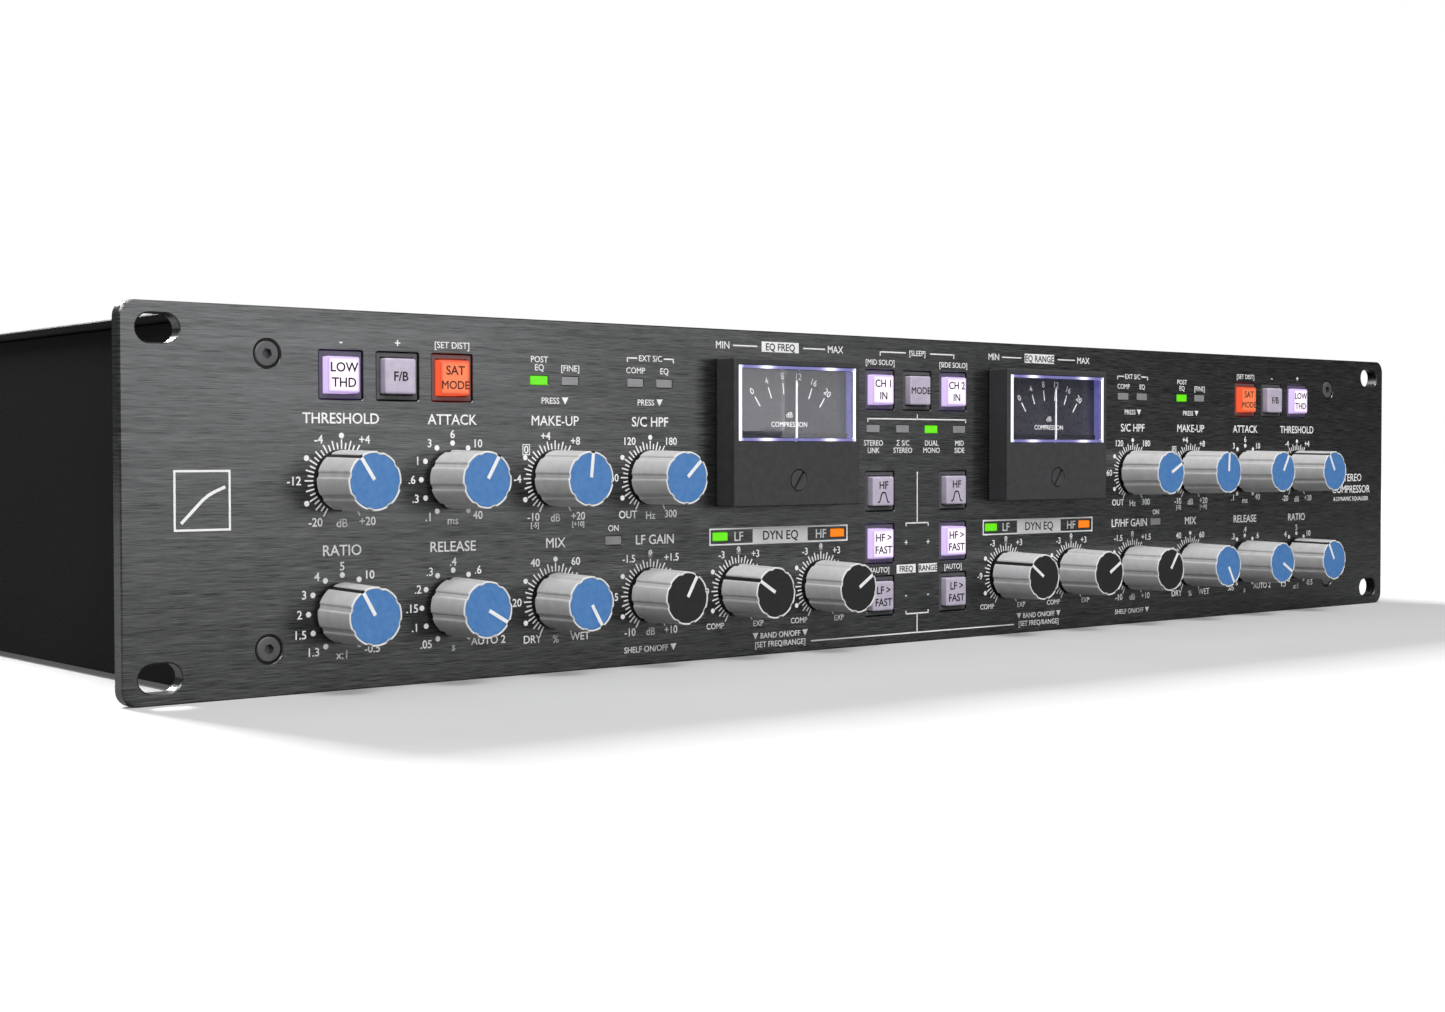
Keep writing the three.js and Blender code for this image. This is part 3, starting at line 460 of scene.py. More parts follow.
# Baked powder on folded steel: black, matt and faintly pebbled.
COAT = PowderCoated("Black powder coat", "powder_coat", "#0A0A0B", 0.7, ior=1.2)
# Satin paint over moulded ABS: even light grey with a soft wide sheen.
KNOB_GREY = Moulded("Satin grey knob paint", "knob_grey", "#C6C6C6", 0.36, light="#D2D2D2")
# The same body with a painted highlight on its front edge, a lighter copy of the grey where the
# bevel would catch light: a thin white line round the cap.
KNOB_RIM_HIGHLIGHT = Moulded("Knob rim painted highlight", "knob_grey", "#DEDEDE", 0.3, light="#EDEDED")
# Dyed ABS discs pressed into the knobs: flat colour, slightly mottled.
BLUE_CAP = Moulded("Blue ABS cap", "blue_cap", "#3F78B8", 0.45, light="#5285BF", grain=0.3)
BLACK_CAP = Moulded("Black ABS cap", "black_cap", "#151516", 0.55, light="#1C1C1D", grain=0.3)
# Filled paint lines.
POINTER_WHITE = Moulded("White filled line", "printed_legend", "#F0F0F0", 0.45, light="#FAFAFA")
GROOVE_BLACK = Moulded("Black filled groove", "black_cap", "#0B0B0B", 0.55, light="#131313")
# Screen-printed epoxy ink: dense white, a little uneven where the brushed grain shows through.
LEGEND_WHITE = Moulded("White screen print", "printed_legend", "#F0F0F0", 0.5, light="#FCFCFC",
                       grain=0.35)
LEGEND_BLACK = Moulded("Black screen print", "black_plastic", "#131313", 0.5, light="#1C1C1C")
# Ink fired into the caps' faces.
INK = Moulded("Dark button ink", "black_plastic", "#08080C", 0.7, light="#0C0C11", grain=0.4)
INK_RED = Moulded("Dark red button ink", "black_plastic", "#4A1408", 0.6, light="#561A0C")
# Milky polycarbonate caps over lamps: white with violet edges, orange, or lilac when dark.
CAP_LIT = LitPlastic("White-lit milky cap", "lit_button", "#FFF0FF", 0.35, edge="#C8A4F4",
                     power=0.95, edge_power=0.62, body="#9A94A0")
CAP_ORANGE = LitPlastic("Orange-lit milky cap", "orange_button", "#FF8450", 0.35, edge="#F2522C",
                        power=0.85, edge_power=0.7, body="#7A3A28")
CAP_LIT_SIDE = LitPlastic("White-lit cap side", "lit_button", "#F0DCFF", 0.35, edge="#E2C6FF",
                          power=0.9, edge_power=0.8, body="#9A94A0")
CAP_ORANGE_SIDE = LitPlastic("Orange-lit cap side", "orange_button", "#FF8452", 0.35,
                             edge="#FF5A30",
                             power=1.0, edge_power=0.9, body="#7A3A28")
CAP_UNLIT = Moulded("Unlit milky cap", "lilac_button", "#B9AFC4", 0.34, light="#C8C0D0",
                    clearcoat=0.2)
# Dyed ABS rims of the switch bodies.
BEZEL = Moulded("Dark moulded bezel", "black_plastic", "#48484A", 0.42, light="#525254")
# The same smoked moulding with a painted glow: the spill of the lit cap beside it, painted in as
# faint emission.
BEZEL_PAINTED_GLOW_VIOLET = LitPlastic("Bezel painted glow violet", "black_plastic", "#A070F0", 0.42, edge="#A070F0",
                          power=0.045, edge_power=0.045, body="#48484A")
BEZEL_PAINTED_GLOW_RED = LitPlastic("Bezel painted glow red", "black_plastic", "#FF3018", 0.42, edge="#FF3018",
                       power=0.07, edge_power=0.07, body="#48484A")
# Diffusing lamp lenses, set flush.
LENS_GREEN = LitPlastic("Green lamp lens", "lamp_green", "#7CFF00", 0.3, edge="#35B000",
                        power=1.3, edge_power=0.8, body="#204A08")
LENS_ORANGE = LitPlastic("Orange lamp lens", "lamp_orange", "#FF9A00", 0.3, edge="#F04A00",
                         power=1.3, edge_power=0.9, body="#5A2404")
LENS_OFF = Moulded("Unlit lamp lens", "lamp_off", "#858587", 0.3, light="#929294",
                   clearcoat=0.3)
# Spark-textured ABS housing: black, dull, with a fine leathery grain.
HOUSING = Moulded("Spark-textured black housing", "meter_plastic", "#3C3C3D", 0.6, light="#444446",
                  grain=0.45, height=0.05, ior=1.3)
# Polished acrylic over the dial, and the frame of it that carries the light of its edge lamps.
WINDOW = ClearAcrylic("Clear acrylic window", "clear_window", "#FFFFFF", 0.03, ior=1.49)
GUIDE = LitPlastic("Edge-lit acrylic frame", "clear_window", "#F4F2FF", 0.2, edge="#5048C8",
                   power=1.5, edge_power=0.3, body="#4A4A60")
# Painted dial parts: a satin plate and a white needle, and a dark shelf at the plate's foot whose
# darkness is partly its own and partly painted shade over the dial.
DIAL = Moulded("Satin dial plate", "meter_scale", "#2A2A34", 0.3, light="#31313B", grain=1.0)
SHADE_LEDGE = Moulded("Dark meter shelf", "meter_plastic", "#12121C", 0.4, light="#181824")
NEEDLE = Moulded("White needle paint", "printed_legend", "#E6E6EA", 0.4, light="#F4F4F8")
# Lacquered brass of the needle's hub.
BRASS = Turned("Lacquered brass", "gold_contact", "#B88A3A", 0.32, 1.0, light="#D9AE5C")
# Plated or oxidised fasteners and spindles.
HEAD = Turned("Grey zinc screw head", "screw_black", "#5A5A5C", 0.45, 0.5, light="#6A6A6C")
STEEL = Turned("Bright steel", "steel", "#9A9A9C", 0.3, 1.0, light="#BDBDBF")
OXIDE = Turned("Black oxide steel", "screw_black", "#19191A", 0.38, 0.6, light="#2A2A2B")
SCREW_GREY = Turned("Dark slotted screw", "steel", "#4A4A4B", 0.4, 0.6, light="#57575A")
GOLD = Turned("Gold-plated contact", "gold_contact", "#D8A437", 0.22, 1.0, light="#F0C869")
NICKEL = Turned("Nickel-plated shell", "steel", "#A9A6A0", 0.28, 1.0, light="#C4C2BD")
SOCKET = Moulded("Black nylon socket", "black_plastic", "#161617", 0.45, light="#1D1D1E",
                 height=0.01)
SUPPLY = Turned("Zinc-plated supply", "supply_metal", "#7D7F82", 0.4, 0.9, light="#9C9EA1",
                pitch=1.2)


# ---- Shapes -------------------------------------------------------------------------------------


def soften(bm: bmesh.types.BMesh, edges: list, width: float, steps: int) -> None:
    """Rounds edges off.

    Args:
        bm: the mesh.
        edges: the edges to round.
        width: of the rounding, in mm.
        steps: faces across it.
    """
    bmesh.ops.bevel(bm, geom=edges, offset=width, offset_type="OFFSET", segments=steps,
                    profile=0.5, affect="EDGES", clamp_overlap=True, material=-1)


def stand_up(bm: bmesh.types.BMesh, verts: list) -> None:
    """Turns a flat outline from lying on the floor to facing forwards."""
    bmesh.ops.rotate(bm, cent=(0, 0, 0), matrix=Matrix.Rotation(math.pi / 2, 3, "X"), verts=verts)


def pick(made: list, kind: type) -> list:
    """The verts, edges or faces among what an operator made."""
    return [item for item in made if isinstance(item, kind)]


def four_corners(x: float, z: float) -> list[tuple[float, float]]:
    """The four places at a distance each way from the middle."""
    return [(side * x, up * z) for side in SIDES for up in SIDES]


@dataclass(frozen=True)
class Window:
    """A round, slotted or square opening, or a plate's outline, in a flat plate.

    Attributes:
        x: middle, to the right.
        z: middle, upwards.
        width: overall.
        height: overall.
        corner: corner radius; half the width of a square opening makes it round.
        chamfer: how much wider its mouth is.
    """

    x: float
    z: float
    width: float
    height: float
    corner: float = 0.0
    chamfer: float = 0.15

    @classmethod
    def hole(cls, x: float, z: float, radius: float, chamfer: float) -> "Window":
        """A round opening."""
        return cls(x, z, 2 * radius, 2 * radius, radius, chamfer)

    def loop(self, bm: bmesh.types.BMesh, y: float) -> list:
        """Draws the outline at a depth.

        Args:
            bm: the mesh.
            y: the depth.

        Returns:
            The outline's edges.
        """
        if self.corner >= self.width / 2 and self.width == self.height:
            verts = bmesh.ops.create_circle(bm, segments=8 * ARC_STEPS, radius=0.5)["verts"]
        else:
            verts = bmesh.ops.create_grid(bm, x_segments=1, y_segments=1, size=0.5)["verts"]
        bmesh.ops.scale(bm, vec=(self.width, self.height, 1), verts=verts)
        stand_up(bm, verts)
        bmesh.ops.translate(bm, vec=(self.x, y, self.z), verts=verts)
        face = verts[0].link_faces[0] if verts[0].link_faces else None
        if face is None:
            return list({edge for vert in verts for edge in vert.link_edges})
        if self.corner:
            known = set(bm.verts) - set(verts)
            radius = min(self.corner, self.width / 2 - 2 * SAME, self.height / 2 - 2 * SAME)
            bmesh.ops.bevel(bm, geom=verts, offset=radius, offset_type="OFFSET",
                            segments=ARC_STEPS, profile=0.5, affect="VERTICES", material=-1)
            verts = [vert for vert in bm.verts if vert not in known]
            face = verts[0].link_faces[0]
        edges = list(face.edges)
        bmesh.ops.delete(bm, geom=[face], context="FACES_ONLY")
        return edges

    def wall(self, bm: bmesh.types.BMesh, front: float, back: float,
             sign: int) -> tuple[list, list]:
        """Draws the wall between a plate's two faces, with a chamfer at each.

        Args:
            bm: the mesh.
            front: depth of the front face.
            back: depth of the back face.
            sign: 1 for an opening, whose mouth is wider, and -1 for the plate's outline.

        Returns:
            The edges at the front and at the back.
        """
        cut = self.chamfer
        grown = Window(self.x, self.z, self.width + 2 * sign * cut, self.height + 2 * sign * cut,
                       self.corner + sign * cut if self.corner else 0.0)
        first = edges = grown.loop(bm, front)
        shrink = (self.width / grown.width, 1, self.height / grown.height)
        widen = tuple(1 / s for s in shrink)
        for scale, shift in ((shrink, cut), ((1, 1, 1), back - front - 2 * cut), (widen, cut)):
            made = bmesh.ops.extrude_edge_only(bm, edges=edges)["geom"]
            verts = pick(made, bmesh.types.BMVert)
            edges = [edge for edge in pick(made, bmesh.types.BMEdge)
                     if all(vert in verts for vert in edge.verts)]
            centre = Matrix.Translation((-self.x, 0, -self.z))
            bmesh.ops.scale(bm, vec=scale, space=centre, verts=verts)
            bmesh.ops.translate(bm, vec=(0, shift, 0), verts=verts)
        return first, edges


class Shape:
    """A closed shape in panel millimetres, made with bmesh operators."""

    def __init__(self) -> None:
        """Starts an empty shape."""
        self.bm = bmesh.new()

    @classmethod
    def slab(cls, low: Point, high: Point, corner: float = 0.0, edge: float = 0.0,
             corner_steps: int = 5, edge_steps: int = 2) -> "Shape":
        """A block with round corners, seen from the front, and softened rims front and back.

        Args:
            low: lowest corner.
            high: highest corner.
            corner: corner radius, or 0 for square ones.
            edge: rounding of the rims.
            corner_steps: faces in a corner.
            edge_steps: faces across a rim.

        Returns:
            The shape.
        """
        shape = cls()
        bm = shape.bm
        size = Vector(high) - Vector(low)
        verts = bmesh.ops.create_cube(bm, size=1.0)["verts"]
        bmesh.ops.scale(bm, vec=size, verts=verts)
        bmesh.ops.translate(bm, vec=(Vector(high) + Vector(low)) / 2, verts=verts)
        if corner:
            sides = [e for e in bm.edges
                     if abs(e.verts[0].co.y - e.verts[1].co.y) > size.y / 2]
            soften(bm, sides, corner, corner_steps)
        if edge:
            bm.normal_update()
            ends = [face for face in bm.faces if abs(face.normal.y) > 0.99]
            soften(bm, list({e for face in ends for e in face.edges}), edge, edge_steps)
        return shape

    @classmethod
    def stroke(cls, start: Vector, end: Vector, width: float, front: float, back: float,
               overlap: float = 0.0) -> "Shape":
        """A straight printed line between two places on the panel.

        Args:
            start: one end.
            end: the other end.
            width: of the line.
            front: depth of its front.
            back: depth of its back.
            overlap: how far it runs past each end.

        Returns:
            The shape, in its place.
        """
        run = end - start
        half = run.length / 2 + overlap
        line = cls.slab((-half, front, -width / 2), (half, back, width / 2))
        return line.fit((start + end) / 2, turn=math.degrees(-math.atan2(run.z, run.x)))

    @classmethod
    def turned(cls, profile: list[tuple[float, float]], steps: int = 48,
               ring: bool = False) -> "Shape":
        """A shape turned about the depth axis.

        Args:
            profile: radius and depth of each point, from the axis and back to it.
            steps: faces round it.
            ring: whether the profile closes on itself away from the axis.

        Returns:
            The shape, centred on the axis.
        """
        shape = cls()
        bm = shape.bm
        verts = [bm.verts.new((radius, depth, 0)) for radius, depth in profile]
        edges = [bm.edges.new(pair) for pair in zip(verts, verts[1:])]
        if ring:
            edges.append(bm.edges.new((verts[-1], verts[0])))
        bmesh.ops.spin(bm, geom=verts + edges, cent=(0, 0, 0), axis=(0, 1, 0), angle=TURN,
                       steps=steps, use_merge=True)
        bmesh.ops.remove_doubles(bm, verts=bm.verts, dist=SAME)
        bmesh.ops.recalc_face_normals(bm, faces=bm.faces)
        return shape

    @classmethod
    def plate(cls, outline: Window, openings: list[Window], front: float, back: float) -> "Shape":
        """A flat plate with chamfered openings.

        Args:
            outline: the plate's edge.
            openings: what is cut through it.
            front: depth of its front face.
            back: depth of its back face.

        Returns:
            The shape.
        """
        shape = cls()
        bm = shape.bm
        walls = [outline.wall(bm, front, back, -1)]
        walls += [opening.wall(bm, front, back, 1) for opening in openings]
        for side in (0, 1):
            loops = [edge for wall in walls for edge in wall[side]]
            bmesh.ops.triangle_fill(bm, use_beauty=True, use_dissolve=False, edges=loops)
        bmesh.ops.recalc_face_normals(bm, faces=bm.faces)
        return shape

    @classmethod
    def border(cls, outer: Window, wall: float, front: float, back: float,
               edge: float = 0.12) -> "Shape":
        """A flat frame of even width.

        Args:
            outer: its outline.
            wall: width of the frame.
            front: depth of its front face.
            back: depth of its back face.
            edge: chamfer of its rims.

        Returns:
            The shape.
        """
        inner = Window(outer.x, outer.z, outer.width - 2 * wall, outer.height - 2 * wall,
                       max(outer.corner - wall, 0.0), edge)
        rim = Window(outer.x, outer.z, outer.width, outer.height, outer.corner, edge)
        return cls.plate(rim, [inner], front, back)

    @classmethod
    def word(cls, text: str, height: float, front: float = -0.05, thickness: float = 0.04,
             bold: float = 0.03) -> "Shape":
        """A printed word, centred on the origin and facing forwards.

        Args:
            text: the word.
            height: of its capitals, in mm.
            front: depth of its face.
            thickness: of the print.
            bold: how far each stroke's edge is moved out, in mm.

        Returns:
            The shape.
        """
        curve = bpy.data.curves.new("lettering", "FONT")
        curve.body = text
        curve.size = height / CAP_HEIGHT
        curve.extrude = thickness / 2
        if "M" in text and bold:
            # A moved outline would fill an M's notches, so the edge is bevelled outwards instead.
            curve.extrude = max(thickness / 2 - bold, 0.002)
            curve.bevel_depth, curve.bevel_resolution = bold, 0
        else:
            curve.offset = bold
        curve.align_x = "CENTER"
        curve.resolution_u = 3
        holder = bpy.data.objects.new("lettering", curve)
        mesh = holder.to_mesh()
        upright = Matrix.Rotation(math.pi / 2, 4, "X")
        mesh.transform(Matrix.Translation((0, front + thickness / 2, -height / 2)) @ upright)
        shape = cls()
        shape.bm.from_mesh(mesh)
        holder.to_mesh_clear()
        bpy.data.objects.remove(holder)
        bpy.data.curves.remove(curve)
        bmesh.ops.remove_doubles(shape.bm, verts=shape.bm.verts, dist=SAME)
        return shape

    def fit(self, place: Point, facing: Facing = Facing.FRONT, turn: float = 0.0) -> "Shape":
        """Turns the shape clockwise about its own axis, faces it a way and moves it to its place.

        Args:
            place: where its origin goes.
            facing: the way its front looks.
            turn: degrees, clockwise from the front.

        Returns:
            The shape.
        """
        spun = Matrix.Rotation(math.radians(turn), 4, "Y")
        bmesh.ops.transform(self.bm, matrix=Matrix.Translation(place) @ facing.turned() @ spun,
                            verts=self.bm.verts)
        return self

    def take(self, other: "Shape", dress: int = 0) -> "Shape":
        """Adds another shape to this one.

        Args:
            other: the shape, which is used up.
            dress: number of the finish that it wears.

        Returns:
            This shape.
        """
        for face in other.bm.faces:
            face.material_index = dress
        mesh = bpy.data.meshes.new("part")
        other.bm.to_mesh(mesh)
        other.bm.free()
        self.bm.from_mesh(mesh)
        bpy.data.meshes.remove(mesh)
        return self

    def glow(self, value: Callable[[Vector], float]) -> "Shape":
        """Paints the glow attribute.

        Args:
            value: gives the glow, from 0 to 1, at a point.

        Returns:
            The shape.
        """
        layer = self.bm.verts.layers.float.new("glow")
        for vert in self.bm.verts:
            vert[layer] = value(vert.co)
        return self


class Bench:
    """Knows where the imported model's pieces are, and fits new pieces to it."""

    def __init__(self, packed: dict) -> None:
        """Finds the front panel's face.
        """
        low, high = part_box("front_panel")
        self.joints = {joint["child"]: joint for joint in packed["joints"]}
        self.nodes = packed["nodes"]
        self.to_row = Matrix.Translation((0, low.y, (low.z + high.z) / 2)) @ Matrix.Scale(MM, 4)
        self.to_panel = self.to_row.inverted()
        self.pieces = 0

    def box(self, node: str) -> tuple[Vector, Vector]:
        """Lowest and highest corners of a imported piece, in panel mm."""
        low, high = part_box(node)
        return self.to_panel @ low, self.to_panel @ high

    def middle(self, node: str) -> Vector:
        """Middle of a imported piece, in panel mm."""
        low, high = self.box(node)
        return (low + high) / 2

    def rest_angle(self, body: str) -> float:
        """Where a knob points at rest, in degrees clockwise from straight up."""
        low, high = self.joints[body]["range_deg"]
        return -(low + high) / 2

    def piece(self, name: str, shape: Shape, finishes: list[Finish], body: str = "unit",
              stands_for: tuple[str, ...] = (), crease: float = 16.0) -> bpy.types.Object:
        """Makes a shape into a piece of the unit.

        Args:
            name: of the piece.
            shape: in panel mm, which is used up.
            finishes: what it is dressed in, the first of them its main one.
            body: what it moves with.
            stands_for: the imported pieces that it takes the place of.
            crease: edges sharper than this many degrees stay sharp.

        Returns:
            The piece.
        """
        mesh = bpy.data.meshes.new(name)
        shape.bm.to_mesh(mesh)
        shape.bm.free()
        mesh.transform(self.to_row)
        mesh.shade_smooth()
        mesh.set_sharp_from_angle(angle=math.radians(crease))
        for finish in finishes:
            mesh.materials.append(finish.material())
        made = bpy.data.objects.new(name, mesh)
        bpy.context.scene.collection.objects.link(made)
        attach(made, body)
        if stands_for:
            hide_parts(*stands_for)
        self.pieces += 1
        log.info("%s: %d faces on %s", name, len(mesh.polygons), body)
        return made

    def dress(self, node: str, finish: Finish, rounding: float = 0.0) -> None:
        """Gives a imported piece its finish, and takes the sharpness off its edges.

        Args:
            node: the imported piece.
            finish: its finish.
            rounding: bevel of its edges, in mm, or 0.
        """
        holder = self.nodes[node]
        holder.data.materials.clear()
        holder.data.materials.append(finish.material())
        if rounding:
            weld = holder.modifiers.new("Weld", "WELD")
            weld.merge_threshold = 0.01 * MM
            bevel = holder.modifiers.new("Bevel", "BEVEL")
            bevel.width = rounding * MM
            bevel.segments = 2
            bevel.limit_method = "ANGLE"
            bevel.angle_limit = math.radians(40)


# ---- Fasteners ----------------------------------------------------------------------------------


@dataclass
class Fastener:
    """A small screw, with its head's front at the origin."""

    radius: float = 2.95
    height: float = 1.6
    drive: float = 1.27  # socket radius, or half of a slot's width
    depth: float = 1.2
    dome: float = 0.25
    shank: float = 1.5
    length: float = 6.0

    def socket_screw(self) -> Shape:
        """A screw with a hexagon socket."""
        shape = Shape()
        bm = shape.bm
        profile = [(self.radius * 0.72, 0.0), (self.radius - self.dome, 0.04),
                   (self.radius, self.dome), (self.radius, self.height),
                   (self.shank, self.height), (self.shank, self.height + self.length),
                   (0, self.height + self.length)]
        shape.take(Shape.turned(profile, 36))
        bore = bmesh.ops.create_circle(bm, segments=6, radius=self.drive)["verts"]
        stand_up(bm, bore)
        mouth = list({edge for vert in bore for edge in vert.link_edges})
        rim = [edge for edge in bm.edges if edge.is_boundary and edge not in mouth]
        bmesh.ops.triangle_fill(bm, use_beauty=True, use_dissolve=False, edges=mouth + rim)
        made = bmesh.ops.extrude_edge_only(bm, edges=mouth)["geom"]
        floor = pick(made, bmesh.types.BMVert)
        bmesh.ops.translate(bm, vec=(0, self.depth, 0), verts=floor)
        bmesh.ops.contextual_create(bm, geom=floor)
        bmesh.ops.recalc_face_normals(bm, faces=bm.faces)
        return shape

    def slotted_screw(self) -> Shape:
        """A screw with a straight slot right across its head."""
        shape = Shape.turned([(0, self.depth), (self.radius, self.depth), (self.radius, self.height),
                              (self.shank, self.height), (self.shank, self.height + self.length),
                              (0, self.height + self.length)], 40)
        for side in (0, 180):
            half = Shape()
            bm = half.bm
            disc = bmesh.ops.create_circle(bm, cap_ends=True, segments=40, radius=self.radius)
            stand_up(bm, disc["verts"])
            bmesh.ops.bisect_plane(bm, geom=bm.verts[:] + bm.edges[:] + bm.faces[:], dist=SAME,
                                   plane_co=(self.drive, 0, 0), plane_no=(1, 0, 0), clear_inner=True)
            made = bmesh.ops.extrude_face_region(bm, geom=bm.faces[:])["geom"]
            bmesh.ops.translate(bm, vec=(0, self.depth, 0), verts=pick(made, bmesh.types.BMVert))
            bmesh.ops.recalc_face_normals(bm, faces=bm.faces)
            front = [e for e in bm.edges if all(v.co.y < SAME for v in e.verts)]
            soften(bm, front, 0.12, 2)
            shape.take(half.fit((0, 0, 0), turn=side))
        return shape


SHEET_SCREW = Fastener(2.7, 1.3, 1.0, 0.9, 0.6, 1.5, 4.0)


# ---- Front panel --------------------------------------------------------------------------------


@dataclass
class FrontPanel:
    """The brushed panel with its openings and its four sunk screws."""

    bench: Bench
    corner: float = 3.8
    slot: tuple[float, float] = (10.1, 6.4)
    slot_places: tuple[float, float] = (232.55, 38.1)
    screw_places: tuple[float, float] = (206.6, 33.35)
    screw_seat: float = 3.35
    switch_cut: float = 11.6
    lamp_cut: tuple[float, float] = (5.4, 2.45)
    spindle_hole: float = 3.5
    barrel_cut: tuple[float, float] = (40.6, 32.6)
    meter_middle: float = 16.35

    def openings(self, layout: "Layout") -> list[Window]:
        """Every opening of the panel.

        Args:
            layout: the places of the controls.

        Returns:
            The openings.
        """
        found = []
        for slot, screw in zip(four_corners(*self.slot_places), four_corners(*self.screw_places)):
            found.append(Window(*slot, *self.slot, self.slot[1] / 2, 0.3))
            found.append(Window.hole(*screw, self.screw_seat, 0.2))
        found += [Window.hole(place.x, place.z, self.spindle_hole, 0.1)
                  for place in layout.knobs.values()]
        found += [Window(place.x, place.z, self.switch_cut, self.switch_cut, 0.5, 0.12)
                  for place in layout.buttons.values()]
        found += [Window(x, z, *self.lamp_cut, 0.25, 0.08) for x, z, _ in layout.lamps]
        found += [Window(x, self.meter_middle, *self.barrel_cut, 0.4, 0.1)
                  for x in layout.meters.values()]
        return found

    def build(self, layout: "Layout") -> None:
        """Makes the panel and its four screws."""
        low, high = self.bench.box("front_panel")
        outline = Window(0, 0, high.x - low.x, high.z - low.z, self.corner, 0.3)
        plate = Shape.plate(outline, self.openings(layout), low.y, high.y)
        self.bench.piece("panel_plate", plate, [PANEL], stands_for=("front_panel",))
        screws, seats = Shape(), Shape()
        rim, back = self.screw_seat, high.y - 0.2
        ring = [(rim - 0.05, 0.12), (rim - 0.05, back), (2.1, back), (2.1, 2.1), (rim - 0.28, 1.7),
                (rim - 0.28, 0.12)]
        for x, z in four_corners(*self.screw_places):
            turn = math.copysign(17, x * z)
            screws.take(Fastener(length=5.5).socket_screw().fit((x, 0.1, z), turn=turn))
            seats.take(Shape.turned(ring, 36, ring=True).fit((x, 0, z)))
        self.bench.piece("panel_screws", screws, [HEAD])
        self.bench.piece("panel_screw_cups", seats, [OXIDE])


# ---- Controls -----------------------------------------------------------------------------------


@dataclass
class Layout:
    """Where the controls are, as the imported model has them."""

    bench: Bench
    knob_names: tuple[str, ...] = ("threshold", "attack", "makeup", "sidechain_filter", "ratio",
                                   "release", "mix", "band_gain", "low_band", "high_band")
    button_names: tuple[str, ...] = ("low_distortion", "feedback", "drive", "channel_in",
                                     "high_bell", "high_fast", "low_fast")
    lamp_row: float = 29.0
    mode_row: float = 17.85
    band_row: float = -11.45
    gain_lamp: float = 109.9
    knobs: dict[str, Vector] = field(default_factory=dict)
    buttons: dict[str, Vector] = field(default_factory=dict)
    meters: dict[int, float] = field(default_factory=dict)
    lamps: list[tuple[float, float, Lamp]] = field(default_factory=list)

    def __post_init__(self) -> None:
        """Reads the places of knobs, buttons and meters, and lists the lamps."""
        for channel in CHANNELS:
            for name in self.knob_names:
                self.knobs[f"{name}_{channel}"] = self.bench.middle(f"knob_{name}_{channel}")
            for name in self.button_names:
                self.buttons[f"{name}_{channel}"] = self.bench.middle(f"button_{name}_{channel}")
            self.meters[channel] = self.bench.middle(f"meter_housing_{channel}").x
        self.buttons["mode_select"] = self.bench.middle("button_mode_select")
        places = [(side * x, self.lamp_row) for x in (93.3, 102.7, 123.3, 132.7) for side in SIDES]
        places += [(x, self.mode_row) for x in (-17.65, -5.88, 5.88, 17.65)]
        places += [(side * self.gain_lamp, self.band_row) for side in SIDES]
        places += [(x, self.band_row) for x in (-74.3, -31.6, 31.6, 74.3)]
        lit = {-132.7: Lamp.GREEN, 123.3: Lamp.GREEN, 5.88: Lamp.GREEN, -74.3: Lamp.GREEN,
               -31.6: Lamp.ORANGE, 31.6: Lamp.GREEN, 74.3: Lamp.ORANGE}
        self.lamps = [(x, z, lit.get(x, Lamp.OFF)) for x, z in places]


